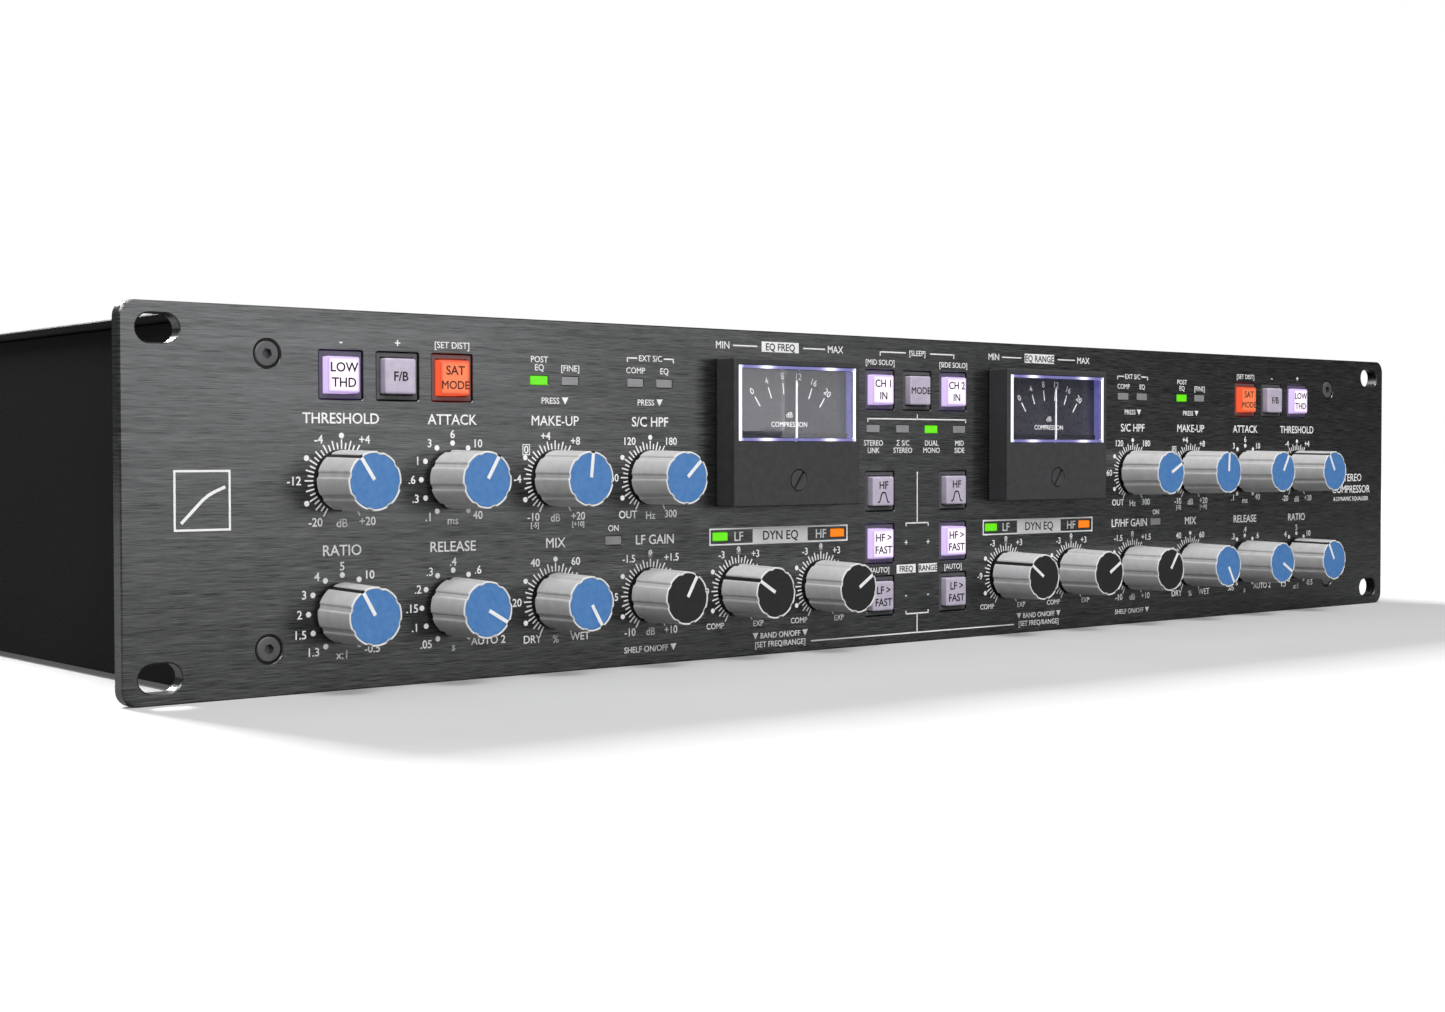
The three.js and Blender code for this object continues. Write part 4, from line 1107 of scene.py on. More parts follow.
@dataclass
class Knob:
    """A fluted knob with its cap, pointer, groove and spindle."""

    bench: Bench
    flutes: int = 8
    flute_width: float = 1.5
    flute_depth: float = 0.3
    facets: int = 192
    front_radius: float = 6.8
    base_radius: float = 7.1
    rim: float = 0.45
    recess: float = 0.6
    spindle_radius: float = 3.0
    bore_depth: float = 8.0
    length: float = 14.4
    line: float = 0.9

    def body(self, front: float, back: float) -> Shape:
        """The fluted body, with a recess for the cap and a bore for the spindle.

        Args:
            front: depth of its front.
            back: depth of its back.

        Returns:
            The shape, with the painted highlight of its rim as finish 1.
        """
        tip, base = self.front_radius, self.base_radius
        bore = self.spindle_radius + 0.05
        profile = [(0, front + self.recess), (tip - self.rim, front + self.recess),
                   (tip - self.rim, front + 0.06), (tip - self.rim + 0.06, front),
                   (tip - 0.1, front), (tip, front + 0.1), (tip + 0.02, front + 1.2)]
        profile += [(tip + (base - tip) * share, front + (back - front) * share)
                    for share in (0.3, 0.6, 0.9)]
        profile += [(base, back - 0.35), (base - 0.3, back), (bore, back),
                    (bore, back - self.bore_depth), (0, back - self.bore_depth)]
        shape = Shape.turned(profile, self.facets)
        reach = math.pi / self.flutes
        for vert in shape.bm.verts:
            radius = math.hypot(vert.co.x, vert.co.z)
            if radius < tip - self.rim + 0.01:
                continue
            angle = math.atan2(vert.co.x, vert.co.z) % (2 * reach)
            away = min(angle, 2 * reach - angle) * radius / (self.flute_width / 2)
            if away < 1:
                sunk = self.flute_depth * min(1.0, 3.2 * (1 - away))
                share = (radius - sunk) / radius
                vert.co.x *= share
                vert.co.z *= share
        # Faces on the front rim wear finish 1, a painted highlight.
        for face in shape.bm.faces:
            middle = face.calc_center_median()
            in_rim_highlight = middle.y < front + 0.08 and math.hypot(middle.x, middle.z) > tip - self.rim
            face.material_index = 1 if in_rim_highlight else 0
        return shape

    def groove(self, front: float, back: float) -> Shape:
        """The black line down the pointer's flute and over the rim.

        Args:
            front: depth of the knob's front.
            back: depth of its back.

        Returns:
            The shape.
        """
        half = self.line / 2
        top = self.front_radius - 0.12
        strip = Shape.slab((-half, front + 0.02, top - 0.4), (half, back - 0.4, top), edge=0.03)
        slope = (self.base_radius - self.front_radius) / (back - front)
        for vert in strip.bm.verts:
            vert.co.z += slope * (vert.co.y - front)
        notch = Shape.slab((-half, front - 0.03, self.front_radius - self.rim),
                           (half, front + 0.4, self.front_radius + 0.02), edge=0.03)
        return strip.take(notch)

    def cap(self, front: float) -> Shape:
        """The disc in the knob's front, with its pointer as finish 1.

        Args:
            front: depth of the knob's front.

        Returns:
            The shape.
        """
        radius = self.front_radius - self.rim - 0.04
        profile = [(0, front + 0.02), (radius * 0.6, front + 0.02), (radius - 0.12, front + 0.03),
                   (radius, front + 0.15), (radius, front + self.recess - 0.02),
                   (0, front + self.recess - 0.02)]
        half = self.line / 2
        bar = Shape.slab((-half, front - 0.06, 0.35), (half, front + 0.06, radius - 0.02),
                         edge=0.04)
        return Shape.turned(profile, 64).take(bar, 1)

    def build(self, name: str, colour: Finish) -> None:
        """Makes a knob in its place.

        Args:
            name: the control and its channel.
            colour: the cap's finish.
        """
        bench, node = self.bench, f"knob_{name}"
        low, high = bench.box(node)
        place = bench.middle(node)
        front, back = low.y, low.y + self.length
        at = (place.x, 0, place.z)
        turn = bench.rest_angle(node)
        body = self.body(front, back).fit(at, turn=turn)
        body.take(self.groove(front, back).fit(at, turn=turn), 2)
        # Its flutes are shaded smooth right across, so its creases start at a wider angle.
        bench.piece(f"body_{name}", body, [KNOB_GREY, KNOB_RIM_HIGHLIGHT, GROOVE_BLACK], node, (node,), 30)
        cap = self.cap(front).fit(at, turn=turn)
        bench.piece(f"cap_{name}", cap, [colour, POINTER_WHITE], node)
        radius, foot = self.spindle_radius, back - self.bore_depth + 0.1
        profile = [(0, foot), (radius, foot), (radius, high.y - 0.4), (radius - 0.4, high.y),
                   (0, high.y)]
        bench.piece(f"spindle_{name}", Shape.turned(profile, 40).fit(at), [STEEL], node)


BUTTONS = {
    "low_distortion_1": (("LOW", "THD"), Glow.WHITE), "feedback_1": (("F/B",), Glow.UNLIT),
    "drive_1": (("SAT", "MODE"), Glow.ORANGE), "channel_in_1": (("CH 1", "IN"), Glow.WHITE),
    "mode_select": (("MODE",), Glow.UNLIT), "channel_in_2": (("CH 2", "IN"), Glow.WHITE),
    "high_bell_1": (("HF", "bell"), Glow.UNLIT), "high_bell_2": (("HF", "bell"), Glow.UNLIT),
    "high_fast_1": (("HF >", "FAST"), Glow.WHITE), "high_fast_2": (("HF >", "FAST"), Glow.WHITE),
    "low_fast_1": (("LF >", "FAST"), Glow.UNLIT), "low_fast_2": (("LF >", "FAST"), Glow.UNLIT),
    "drive_2": (("SAT", "MODE"), Glow.ORANGE), "feedback_2": (("F/B",), Glow.UNLIT),
    "low_distortion_2": (("LOW", "THD"), Glow.WHITE),
}


@dataclass
class PushButton:
    """A square milky cap with its printed words, and the bezel round it."""

    bench: Bench
    corner: float = 0.55
    edge: float = 0.5
    length: float = 7.0
    stem: float = 4.0
    words: float = 2.1
    wide_word: float = 0.9  # how much smaller a word is set that would reach the cap's edge
    bold: float = 0.045
    spread: float = 1.75
    bezel: float = 11.1
    bezel_wall: float = 1.1

    def cap(self, low: Vector, high: Vector) -> Shape:
        """The cap, with glow that fades from the middle of its face to its sides.

        Args:
            low: lowest corner of the cap.
            high: highest corner.

        Returns:
            The shape, in its place.
        """
        shape = Shape.slab(low, high, self.corner, self.edge, corner_steps=4, edge_steps=3)
        bm = shape.bm
        bm.normal_update()
        face = min(bm.faces, key=lambda f: (f.calc_center_median().y, -f.calc_area()))
        middle = (low + high) / 2
        for share in (0.93, 0.78):
            bmesh.ops.inset_region(bm, faces=[face], thickness=0.004)
            bmesh.ops.scale(bm, vec=(share, 1, share), verts=face.verts,
                            space=Matrix.Translation(-middle))
        for side in bm.faces:
            side.material_index = 2 if side.normal.y > -0.7 else 0
        half = (high.x - low.x) / 2

        def fade(point: Vector) -> float:
            """Glow at a point: full in the middle, and low behind the front edge."""
            out = max(abs(point.x - middle.x), abs(point.z - middle.z)) / half
            behind = 0.6 if point.y > low.y + 0.05 else 0.0
            return max(0.0, min(1.0, (1.02 - out) * 3.2) - behind)

        return shape.glow(fade)

    def bell(self) -> Shape:
        """The bell curve that marks a band's shape, as an outline of even width."""
        shape = Shape()
        steps = 30
        for index in range(steps):
            span = [(-2.3 + 4.6 * (index + end) / steps) for end in (-0.15, 1.15)]
            ends = [Vector((x, 0, 2.8 * math.exp(-(x / 1.25) ** 4) - 1.4)) for x in span]
            shape.take(Shape.stroke(*ends, 0.42, -0.04, 0.01))
        return shape

    def build(self, name: str, lines: tuple[str, ...], glow: Glow) -> None:
        """Makes a button in its place.

        Args:
            name: the button.
            lines: its words.
            glow: how it is lit.
        """
        node = f"button_{name}"
        low, high = self.bench.box(node)
        middle = (low + high) / 2
        shape = self.cap(low, Vector((high.x, low.y + self.length, high.z)))
        rise = self.spread if len(lines) > 1 else 0.0
        for line in lines:
            if line == "bell":
                mark = self.bell()
            else:
                size = self.words * (self.wide_word if line == "MODE" else 1.0)
                mark = Shape.word(line, size, -0.04, 0.05, self.bold)
            shape.take(mark.fit((middle.x, low.y, middle.z + rise)), 1)
            rise -= 2 * self.spread
        front, side = {Glow.WHITE: (CAP_LIT, CAP_LIT_SIDE), Glow.UNLIT: (CAP_UNLIT, CAP_UNLIT),
                       Glow.ORANGE: (CAP_ORANGE, CAP_ORANGE_SIDE)}[glow]
        ink = INK_RED if glow is Glow.ORANGE else INK
        self.bench.piece(f"cap_{name}", shape, [front, ink, side], node, (node,))
        half, start = self.stem / 2, low.y + self.length - 0.1
        stem = Shape.slab((middle.x - half, start, middle.z - half),
                          (middle.x + half, high.y, middle.z + half), 0.3, 0.2)
        self.bench.piece(f"stem_{name}", stem, [SOCKET], node)

    def bezels(self, places: dict[str, Vector]) -> None:
        """Makes the bezels round all of the buttons; those round lit buttons wear a painted glow in
        their lamp's colour.
        """
        shape = Shape()
        painted_glows = {Glow.UNLIT: 0, Glow.WHITE: 1, Glow.ORANGE: 2}
        for name, place in places.items():
            outer = Window(place.x, place.z, self.bezel, self.bezel, 0.4)
            rim = Shape.border(outer, self.bezel_wall, 0.35, 4.2, 0.15)
            # A lit button's bezel wears painted glow: emission for the light that spills from its
            # cap.
            shape.take(rim, painted_glows[BUTTONS[name][1]])
        self.bench.piece("switch_bezels", shape, [BEZEL, BEZEL_PAINTED_GLOW_VIOLET, BEZEL_PAINTED_GLOW_RED])


@dataclass
class StatusLamps:
    """The small flush lamps."""

    bench: Bench
    width: float = 5.15
    height: float = 2.2

    def build(self, lamps: list[tuple[float, float, Lamp]]) -> None:
        """Makes the lenses, one piece for each colour.

        Args:
            lamps: place and colour of each.
        """
        finishes = {Lamp.GREEN: LENS_GREEN, Lamp.ORANGE: LENS_ORANGE, Lamp.OFF: LENS_OFF}
        for colour, finish in finishes.items():
            shape = Shape()
            centres = [(x, z) for x, z, shown in lamps if shown is colour]
            for x, z in centres:
                shape.take(Shape.slab((x - self.width / 2, 0.02, z - self.height / 2),
                                      (x + self.width / 2, 1.6, z + self.height / 2), 0.2, 0.15))

            def fade(point: Vector) -> float:
                """Glow at a point: lower towards the ends of its lens."""
                x, z = min(centres, key=lambda c: (c[0] - point.x) ** 2 + (c[1] - point.z) ** 2)
                across, up = abs(point.x - x) / self.width, abs(point.z - z) / self.height
                return 1.0 - 0.6 * across - 0.5 * up

            self.bench.piece(f"lenses_{colour.value}", shape.glow(fade), [finish])


@dataclass
class Meter:
    """A moving-coil meter with an edge-lit window."""

    bench: Bench
    window: tuple[float, float] = (42.4, 20.4)
    window_middle: float = 24.2
    dial_depth: float = 3.9
    cavity_floor: float = 6.9
    barrel: tuple[float, float, float] = (40.0, 32.0, 22.0)
    frame: float = 0.75
    pivot: float = 8.6
    zero_z: float = 3.5
    zero_radius: float = 2.75
    scale_step: float = 14.4
    scale_inner: float = 18.4
    scale_outer: float = 21.5
    numerals: float = 23.35

    def housing(self, x: float, low: Vector, high: Vector) -> Shape:
        """The housing: a front with its window, side walls, a floor and the barrel behind.

        Args:
            x: the meter's middle.
            low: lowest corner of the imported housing.
            high: highest corner.

        Returns:
            The shape.
        """
        face, dial, seat = low.y, low.y + self.dial_depth, -0.3
        width, height = high.x - low.x, high.z - low.z
        middle = (low.z + high.z) / 2
        outline = Window(x, middle, width, height, 0.5, 0.35)
        inner = Window(x, middle, width, height, 0.5, 0.02)
        view = Window(x, self.window_middle, *self.window, 0.3, 0.15)
        bore = Window.hole(x, self.zero_z, self.zero_radius + 0.25, 0.1)
        top = self.window_middle + self.window[1] / 2
        room = Window(x, (top + self.cavity_floor) / 2, self.window[0], top - self.cavity_floor,
                      0.3, 0.02)
        shape = Shape.plate(outline, [view, bore], face, face + 0.8)
        shape.take(Shape.plate(inner, [room, bore], face + 0.79, dial + 0.4))
        shape.take(Shape.plate(inner, [], dial + 0.39, seat))
        wide, tall, deep = self.barrel
        return shape.take(Shape.slab((x - wide / 2, seat - 0.5, middle - tall / 2),
                                     (x + wide / 2, deep, middle + tall / 2), 1.0, 0.6))

    def light(self, x: float, face: float) -> Shape:
        """The lit frame round the window: bright ends, blue long sides with two hot spots each.

        Args:
            x: the meter's middle.
            face: depth of the housing's front.

        Returns:
            The shape.
        """
        width, height = self.window[0] - 0.3, self.window[1] - 0.3
        front, back, deep = face - 0.12, face + 0.78, face + self.dial_depth - 0.1
        shape = Shape()
        cells = 28
        for up in SIDES:
            outer = self.window_middle + up * height / 2
            span = sorted((outer, outer - up * self.frame))
            for cell in range(cells):
                ends = [x - width / 2 + width * (cell + end) / cells for end in (0, 1)]
                shape.take(Shape.slab((ends[0], front, span[0]), (ends[1], back, span[1])))
        for side in SIDES:
            outer = x + side * width / 2
            span = sorted((outer, outer - side * self.frame))
            reach = height / 2 - self.frame
            shape.take(Shape.slab((span[0], front, self.window_middle - reach),
                                  (span[1], back, self.window_middle + reach), 0, 0.1))
            span = sorted((outer, outer - side * 0.3))
            shape.take(Shape.slab((span[0], back + 0.02, self.window_middle - height / 2),
                                  (span[1], deep, self.window_middle + height / 2)))
        top = self.window_middle + height / 2
        shape.take(Shape.slab((x - width / 2, back + 0.02, top - 0.3), (x + width / 2, deep, top)))

        def fade(point: Vector) -> float:
            """Glow at a point: full at the two ends and at the hot spots."""
            across = abs(point.x - x) / (width / 2)
            if point.y > back + 0.01:
                return 0.1
            spots = math.exp(-((across - 0.55) / 0.12) ** 2)
            ends = 1.0 if across > 0.955 else 0.0
            return max(ends, 0.2 + 0.8 * spots)

        return shape.glow(fade)

    def scale(self, x: float, y: float) -> Shape:
        """The dial's printed ticks, figures and words.

        Args:
            x: the meter's middle.
            y: depth of the dial.

        Returns:
            The shape.
        """
        shape = Shape()
        for index, figure in enumerate(("0", "4", "8", "12", "16", "20")):
            angle = (index - 2.5) * self.scale_step
            tick = Shape.slab((-0.17, y - 0.05, self.scale_inner), (0.17, y, self.scale_outer))
            mark = Shape.word(figure, 1.75, y - 0.05, bold=0.005).fit((0, 0, self.numerals))
            for part in (tick, mark):
                shape.take(part.fit((x, 0, self.pivot), turn=angle))
        shape.take(Shape.word("dB", 1.5, y - 0.05, bold=0.0).fit((x - 0.3, 0, 21.3)))
        shape.take(Shape.word("COMPRESSION", 1.35, y - 0.05, bold=0.0).fit((x - 0.3, 0, 18.7)))
        return shape

    def needle(self, x: float, low: Vector, high: Vector) -> Shape:
        """The tapered needle on its hub, with a short tail.

        Args:
            x: the meter's middle.
            low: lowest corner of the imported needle.
            high: highest corner.

        Returns:
            The shape.
        """
        tip = high.z - self.pivot
        blade = Shape.slab((-0.36, low.y, -1.0), (0.36, low.y + 0.36, tip), edge=0.08)
        for vert in blade.bm.verts:
            vert.co.x *= 1.0 - 0.45 * max(0.0, vert.co.z) / tip
        hub = Shape.turned([(0, low.y), (1.2, low.y), (1.4, low.y + 0.2), (1.4, low.y + 2.3),
                            (1.2, low.y + 2.5), (0.7, low.y + 2.5), (0.7, high.y), (0, high.y)], 32)
        return blade.take(hub, 1).fit((x, 0, self.pivot))

    def build(self, channel: int, x: float) -> None:
        """Makes a meter in its place.

        Args:
            channel: 1 or 2.
            x: the meter's middle.
        """
        bench = self.bench
        node, needle, screw = (f"{kind}_{channel}" for kind in
                               ("meter_housing", "meter_needle", "meter_zero_screw"))
        low, high = bench.box(node)
        face, dial = low.y, low.y + self.dial_depth
        case = self.housing(x, low, high)
        bench.piece(f"meter_case_{channel}", case, [HOUSING], stands_for=(node,))
        bench.piece(f"meter_light_{channel}", self.light(x, face), [GUIDE])
        width, height = (side - 2 * self.frame - 0.5 for side in self.window)
        bottom, top = self.window_middle - height / 2, self.window_middle + height / 2
        pane = Shape.slab((x - width / 2, face + 0.1, bottom), (x + width / 2, face + 0.75, top),
                          0.2, 0.08)
        bench.piece(f"meter_window_{channel}", pane, [WINDOW])
        plate = Shape.slab((x - 21.0, dial, self.cavity_floor + 0.2),
                           (x + 21.0, dial + 0.42, self.window_middle + 10.1), 0.2, 0.05)
        bench.piece(f"meter_dial_{channel}", plate, [DIAL])
        # A dark strip across the dial's foot: a shelf, dark also as painted shade.
        shelf = Shape.slab((x - 20.9, dial - 0.6, 13.0), (x + 20.9, dial - 0.02, 16.4), 0.1, 0.08)
        bench.piece(f"meter_shade_shelf_{channel}", shelf, [SHADE_LEDGE])
        bench.piece(f"meter_scale_{channel}", self.scale(x, dial), [LEGEND_WHITE])
        low, high = bench.box(needle)
        pointer = self.needle(x, low, high)
        bench.piece(f"needle_{channel}", pointer, [NEEDLE, BRASS], needle, (needle,))
        low, high = bench.box(screw)
        head = Fastener(self.zero_radius, 1.7, 0.4, 0.7, 0.15, 1.2, high.y - low.y - 1.7)
        shape = head.slotted_screw().fit((x, low.y, self.zero_z), turn=36)
        bench.piece(f"zero_screw_{channel}", shape, [SCREW_GREY], screw, (screw,))


# ---- Printed legend -----------------------------------------------------------------------------


@dataclass(frozen=True)
class DialFace:
    """What is printed round a knob.

    Attributes:
        title: the control's name.
        figures: text, x and z of each figure from the knob's middle.
        stepped: whether it has a dot for each click instead of ticks.
        boxed: the figure that has a box round it.
    """

    title: str
    figures: tuple[tuple[str, float, float], ...]
    stepped: bool = False
    boxed: str = ""


DIAL_FACES = {
    "threshold": DialFace("THRESHOLD", (("-4", -5.9, 9.5), ("+4", 6.0, 9.5), ("-12", -12.2, 0.0),
                                        ("-20", -6.8, -9.5), ("+20", 6.7, -9.5), ("dB", 0.0, -9.8))),
    "attack": DialFace("ATTACK", ((".1", -6.7, -8.9), (".3", -10.3, -4.5), (".6", -11.3, 0.0),
                                  ("1", -9.7, 4.5), ("3", -6.4, 8.7), ("6", 0.0, 10.9),
                                  ("10", 7.1, 8.7), ("40", 7.1, -8.7), ("ms", 0.0, -9.8)), True),
    "makeup": DialFace("MAKE-UP", (("+4", -2.9, 10.6), ("+8", 6.2, 9.4), ("0", -8.7, 7.2),
                                   ("-4", -11.3, 0.0), ("-10", -6.6, -9.5), ("+20", 7.0, -9.5),
                                   ("dB", 0.0, -9.8)), boxed="0"),
    "sidechain_filter": DialFace("S/C HPF", (("120", -6.8, 9.4), ("180", 6.8, 9.4),
                                             ("60", -11.6, 0.0), ("OUT", -7.3, -9.5),
                                             ("Hz", 0.0, -9.8), ("300", 6.7, -9.5))),
    "ratio": DialFace("RATIO", (("5", 0.0, 10.8), ("4", -6.5, 8.6), ("10", 7.1, 8.6),
                                ("3", -9.8, 4.5), ("2", -11.0, 0.0), ("1.5", -10.9, -4.6),
                                ("1.3", -7.6, -8.7), ("x:1", 0.0, -9.7), ("-0.5", 7.8, -8.7)), True),
    "release": DialFace("RELEASE", ((".4", 0.0, 10.8), (".3", -6.5, 8.6), (".6", 7.1, 8.6),
                                    (".2", -9.8, 4.5), (".15", -11.4, 0.0), (".1", -10.6, -4.6),
                                    (".05", -7.6, -8.7), ("s", 0.0, -9.7),
                                    ("AUTO 2", 10.0, -8.7)), True),
    "mix": DialFace("MIX", (("40", -6.1, 9.7), ("60", 6.2, 9.7), ("20", -11.6, 0.0),
                            ("DRY", -7.1, -9.3), ("%", 0.0, -9.6), ("WET", 7.5, -9.3))),
    "band_gain": DialFace("", (("0", 0.0, 10.8), ("-1.5", -7.0, 9.7), ("+1.5", 7.0, 9.7),
                               ("-5", -11.5, 0.0), ("-10", -6.7, -9.3), ("+10", 6.7, -9.3),
                               ("dB", 0.0, -9.4))),
    "low_band": DialFace("", (("0", 0.0, 10.8), ("-3", -5.9, 9.7), ("+3", 6.0, 9.7),
                              ("-9", -11.4, 0.0), ("COMP", -8.2, -9.3), ("EXP", 6.9, -9.3))),
}
DIAL_FACES["high_band"] = DIAL_FACES["low_band"]


@dataclass
class Legend:
    """All that is screen-printed on the panel, in white with black words on white boxes."""

    bench: Bench
    layout: Layout
    title: float = 2.4
    figure: float = 1.9
    small: float = 1.5
    line: float = 0.36
    top: float = 39.8  # height of the topmost row of words
    middle: float = 36.8
    meter: float = 53.0
    white: Shape = field(default_factory=Shape)
    black: Shape = field(default_factory=Shape)

    def word(self, text: str, x: float, z: float, height: float) -> None:
        """Prints a white word, centred on a place."""
        bold = 0.03 if height > 1.6 else 0.015
        self.white.take(Shape.word(text, height, bold=bold).fit((x, 0, z)))

    def small_words(self, *words: tuple[str, float, float]) -> None:
        """Prints several small words, each at its place."""
        for text, x, z in words:
            self.word(text, x, z, self.small)

    def bar(self, low: tuple[float, float], high: tuple[float, float]) -> None:
        """Prints a white block between two corners."""
        self.white.take(Shape.slab((low[0], -0.05, low[1]), (high[0], -0.01, high[1])))

    def rule(self, start: float, end: float, z: float) -> None:
        """Prints a level line."""
        self.bar((start, z - self.line / 2), (end, z + self.line / 2))

    def post(self, x: float, start: float, end: float) -> None:
        """Prints an upright line."""
        self.bar((x - self.line / 2, start), (x + self.line / 2, end))

    def bracket(self, start: float, end: float, z: float, tick: float,
                gap: tuple[float, float] | None = None) -> None:
        """Prints a level line with a tick at each end.

        Args:
            start: left end.
            end: right end.
            z: height of the line.
            tick: length of the ticks, negative for downwards.
            gap: where the line is left out.
        """
        for left, right in ((start, end),) if gap is None else ((start, gap[0]), (gap[1], end)):
            self.rule(left, right, z)
        for x in (start, end):
            self.post(x, *sorted((z + math.copysign(self.line / 2, -tick), z + tick)))

    def boxed(self, text: str, x: float, z: float, width: float, height: float,
              letters: float) -> None:
        """Prints a black word on a white block."""
        self.bar((x - width / 2, z - height / 2), (x + width / 2, z + height / 2))
        self.black.take(Shape.word(text, letters, -0.09, 0.05, bold=0.035).fit((x, 0, z)))

    def outline(self, x: float, z: float, width: float, height: float, line: float) -> None:
        """Prints an empty white frame."""
        outer = Window(x, z, width, height, 0.0)
        self.white.take(Shape.border(outer, line, -0.05, -0.01, 0.005))

    def dot(self, x: float, z: float, radius: float) -> None:
        """Prints a white dot."""
        profile = [(0, -0.05), (radius, -0.05), (radius, -0.01), (0, -0.01)]
        self.white.take(Shape.turned(profile, 16).fit((x, 0, z)))

    def ring(self, name: str, place: Vector, face: DialFace) -> None:
        """Prints the ticks or dots and the figures round a knob.

        Args:
            name: the control.
            place: the knob's middle.
            face: what to print.
        """
        if face.stepped:
            dots, ticks, radius = range(-150, 151, 30), (), 8.75
        else:
            dots, ticks, radius = range(-120, 121, 60), range(41), 10.4
        for angle in dots:
            if angle or name != "makeup":
                at = math.radians(angle)
                self.dot(place.x + radius * math.sin(at), place.z + radius * math.cos(at), 0.66)
        for index in ticks:
            tick = Shape.slab((-0.18, -0.05, 7.3), (0.18, -0.01, 8.8 if index % 2 else 9.5))
            self.white.take(tick.fit((place.x, 0, place.z), turn=-150 + 7.5 * index))
        for text, dx, dz in face.figures:
            height = self.small if text in ("COMP", "EXP") else self.figure
            self.word(text, place.x + dx, place.z + dz, height)
            if text == face.boxed:
                self.outline(place.x + dx, place.z + dz, 2.2, 2.7, 0.22)

    def dials(self) -> None:
        """Prints every knob's title and ring."""
        titles = {"upper": 19.0, "lower": -11.5}
        for name, place in self.layout.knobs.items():
            control = name[:-2]
            face = DIAL_FACES[control]
            self.ring(control, place, face)
            if face.title:
                row = titles["upper" if place.z > -10 else "lower"]
                self.word(face.title, place.x, row, self.title)
            if control == "makeup":
                for text, side in (("[-5]", -6.2), ("[+10]", 7.0)):
                    self.word(text, place.x + side, place.z - 11.5, 1.2)
        self.word("LF GAIN", -96.5, titles["lower"], self.title)
        self.word("LF/HF GAIN", 96.5, titles["lower"], self.title)

    def outer_section(self, side: int) -> None:
        """Prints what is over a channel's outer knobs.

        Args:
            side: -1 for the left channel and 1 for the right.
        """
        for text, x in zip("-+" if side < 0 else "+-", (188, 173)):
            self.word(text, side * x, self.middle, 2.0)
        # The left lamp of each pair, and how far its right one stands from it.
        post, compressor = (-132.7, -102.7) if side < 0 else (123.3, 93.3)
        step = 9.4
        self.small_words(
            ("[SET DIST]", side * 158, self.middle), ("POST", post, 34.2), ("EQ", post, 32.2),
            ("[FINE]", post + step, 32.2), ("COMP", compressor, 32.2),
            ("EQ", compressor + step, 32.2), ("EXT S/C", side * 97.85, 35.4),
            ("PRESS ▼", side * 128, 24.0), ("PRESS ▼", side * 98, 24.0),
            ("ON", side * self.layout.gain_lamp, -8.3), ("SHELF ON/OFF ▼", side * 98, -39.9))
        gap = sorted((side * 102.2, side * 93.5))
        self.bracket(*sorted((side * 105.35, side * 90.3)), 35.4, -1.0, gap)

    def band_section(self, side: int) -> None:
        """Prints a channel's band bar and meter title.

        Args:
            side: -1 for the left channel and 1 for the right.
        """
        middle = side * self.meter
        self.outline(middle, -11.5, 50.4, 4.6, 0.42)
        self.boxed("DYN EQ", middle, -11.5, 20.0, 4.0, 2.4)
        for text, x in (("LF", middle - 15), ("HF", middle + 15)):
            self.word(text, x, -11.5, self.title)
        self.small_words(("▼ BAND ON/OFF ▼", middle, -38.8), ("[SET FREQ/RANGE]", middle, -41.2))
        self.word("MIN", middle - 20.5, self.top, self.figure)
        self.word("MAX", middle + 20.5, self.top, self.figure)
        for start, end in ((-16.9, -8.3), (8.4, 16.6)):
            self.rule(middle + start, middle + end, self.top)
        self.boxed("EQ FREQ" if side < 0 else "EQ RANGE", middle, self.top, 13.5, 2.8, 1.85)

    def middle_section(self) -> None:
        """Prints what is between the meters."""
        self.small_words(("[SLEEP]", 0, self.top), ("[MID SOLO]", -15, self.middle),
                         ("[SIDE SOLO]", 15, self.middle))
        self.bracket(-15, 15.2, self.top, -1.1, (-4.8, 5.2))
        self.post(0, 20.7, 22.1)
        self.bracket(-19.9, 20.3, 20.7, -0.9)
        for x, upper, lower in ((-17.65, "STEREO", "LINK"), (-5.88, "Σ S/C", "STEREO"),
                                (5.88, "DUAL", "MONO"), (17.65, "MID", "SIDE")):
            self.small_words((upper, x, 13.8), (lower, x, 11.7))
        self.post(0, -9.4, 5.5)
        self.bracket(-4.55, 4.55, -9.4, -0.9)
        self.bracket(-4.55, 4.55, -35.7, 0.9)
        self.post(0, -41.3, -35.7)
        self.rule(-41.7, 41.7, -41.3)
        for side in SIDES:
            self.word("+", side * 4.5, -15, 1.8)
            self.word("-", side * 4.5, -30.1, 1.8)
            self.small_words(("[AUTO]", side * 15, -22.6))
        self.boxed("FREQ", -4.5, -22.6, 7.7, 2.5, 1.6)
        self.boxed("RANGE", 4.4, -22.6, 7.6, 2.5, 1.6)

    def ends(self) -> None:
        """Prints a compressor's curve at the left end and the unit's kind at the right."""
        self.outline(-222.5, 0.5, 13.5, 13.5, 0.5)
        curve = ((-227.4, -4.4), (-222.4, 0.6), (-221.1, 1.6), (-219.6, 2.4), (-217.2, 3.4))
        points = [Vector((x, 0, z)) for x, z in curve]
        for index, (start, end) in enumerate(zip(points, points[1:])):
            front = -0.05 - 0.003 * index  # each dash lies a little over the last
            self.white.take(Shape.stroke(start, end, 0.7, front, -0.01, 0.15))
        for text, z, height in (("STEREO", 2.0, 2.6), ("COMPRESSOR", -2.2, 2.6),
                                ("& DYNAMIC EQUALISER", -5.6, 1.4)):
            self.word(text, 221.5, z, height)

    def build(self) -> None:
        """Prints the whole legend."""
        self.dials()
        for side in SIDES:
            self.outer_section(side)
            self.band_section(side)
        self.middle_section()
        self.ends()
        self.bench.piece("legend_white", self.white, [LEGEND_WHITE])
        self.bench.piece("legend_black", self.black, [LEGEND_BLACK])


# ---- Chassis and rear ---------------------------------------------------------------------------


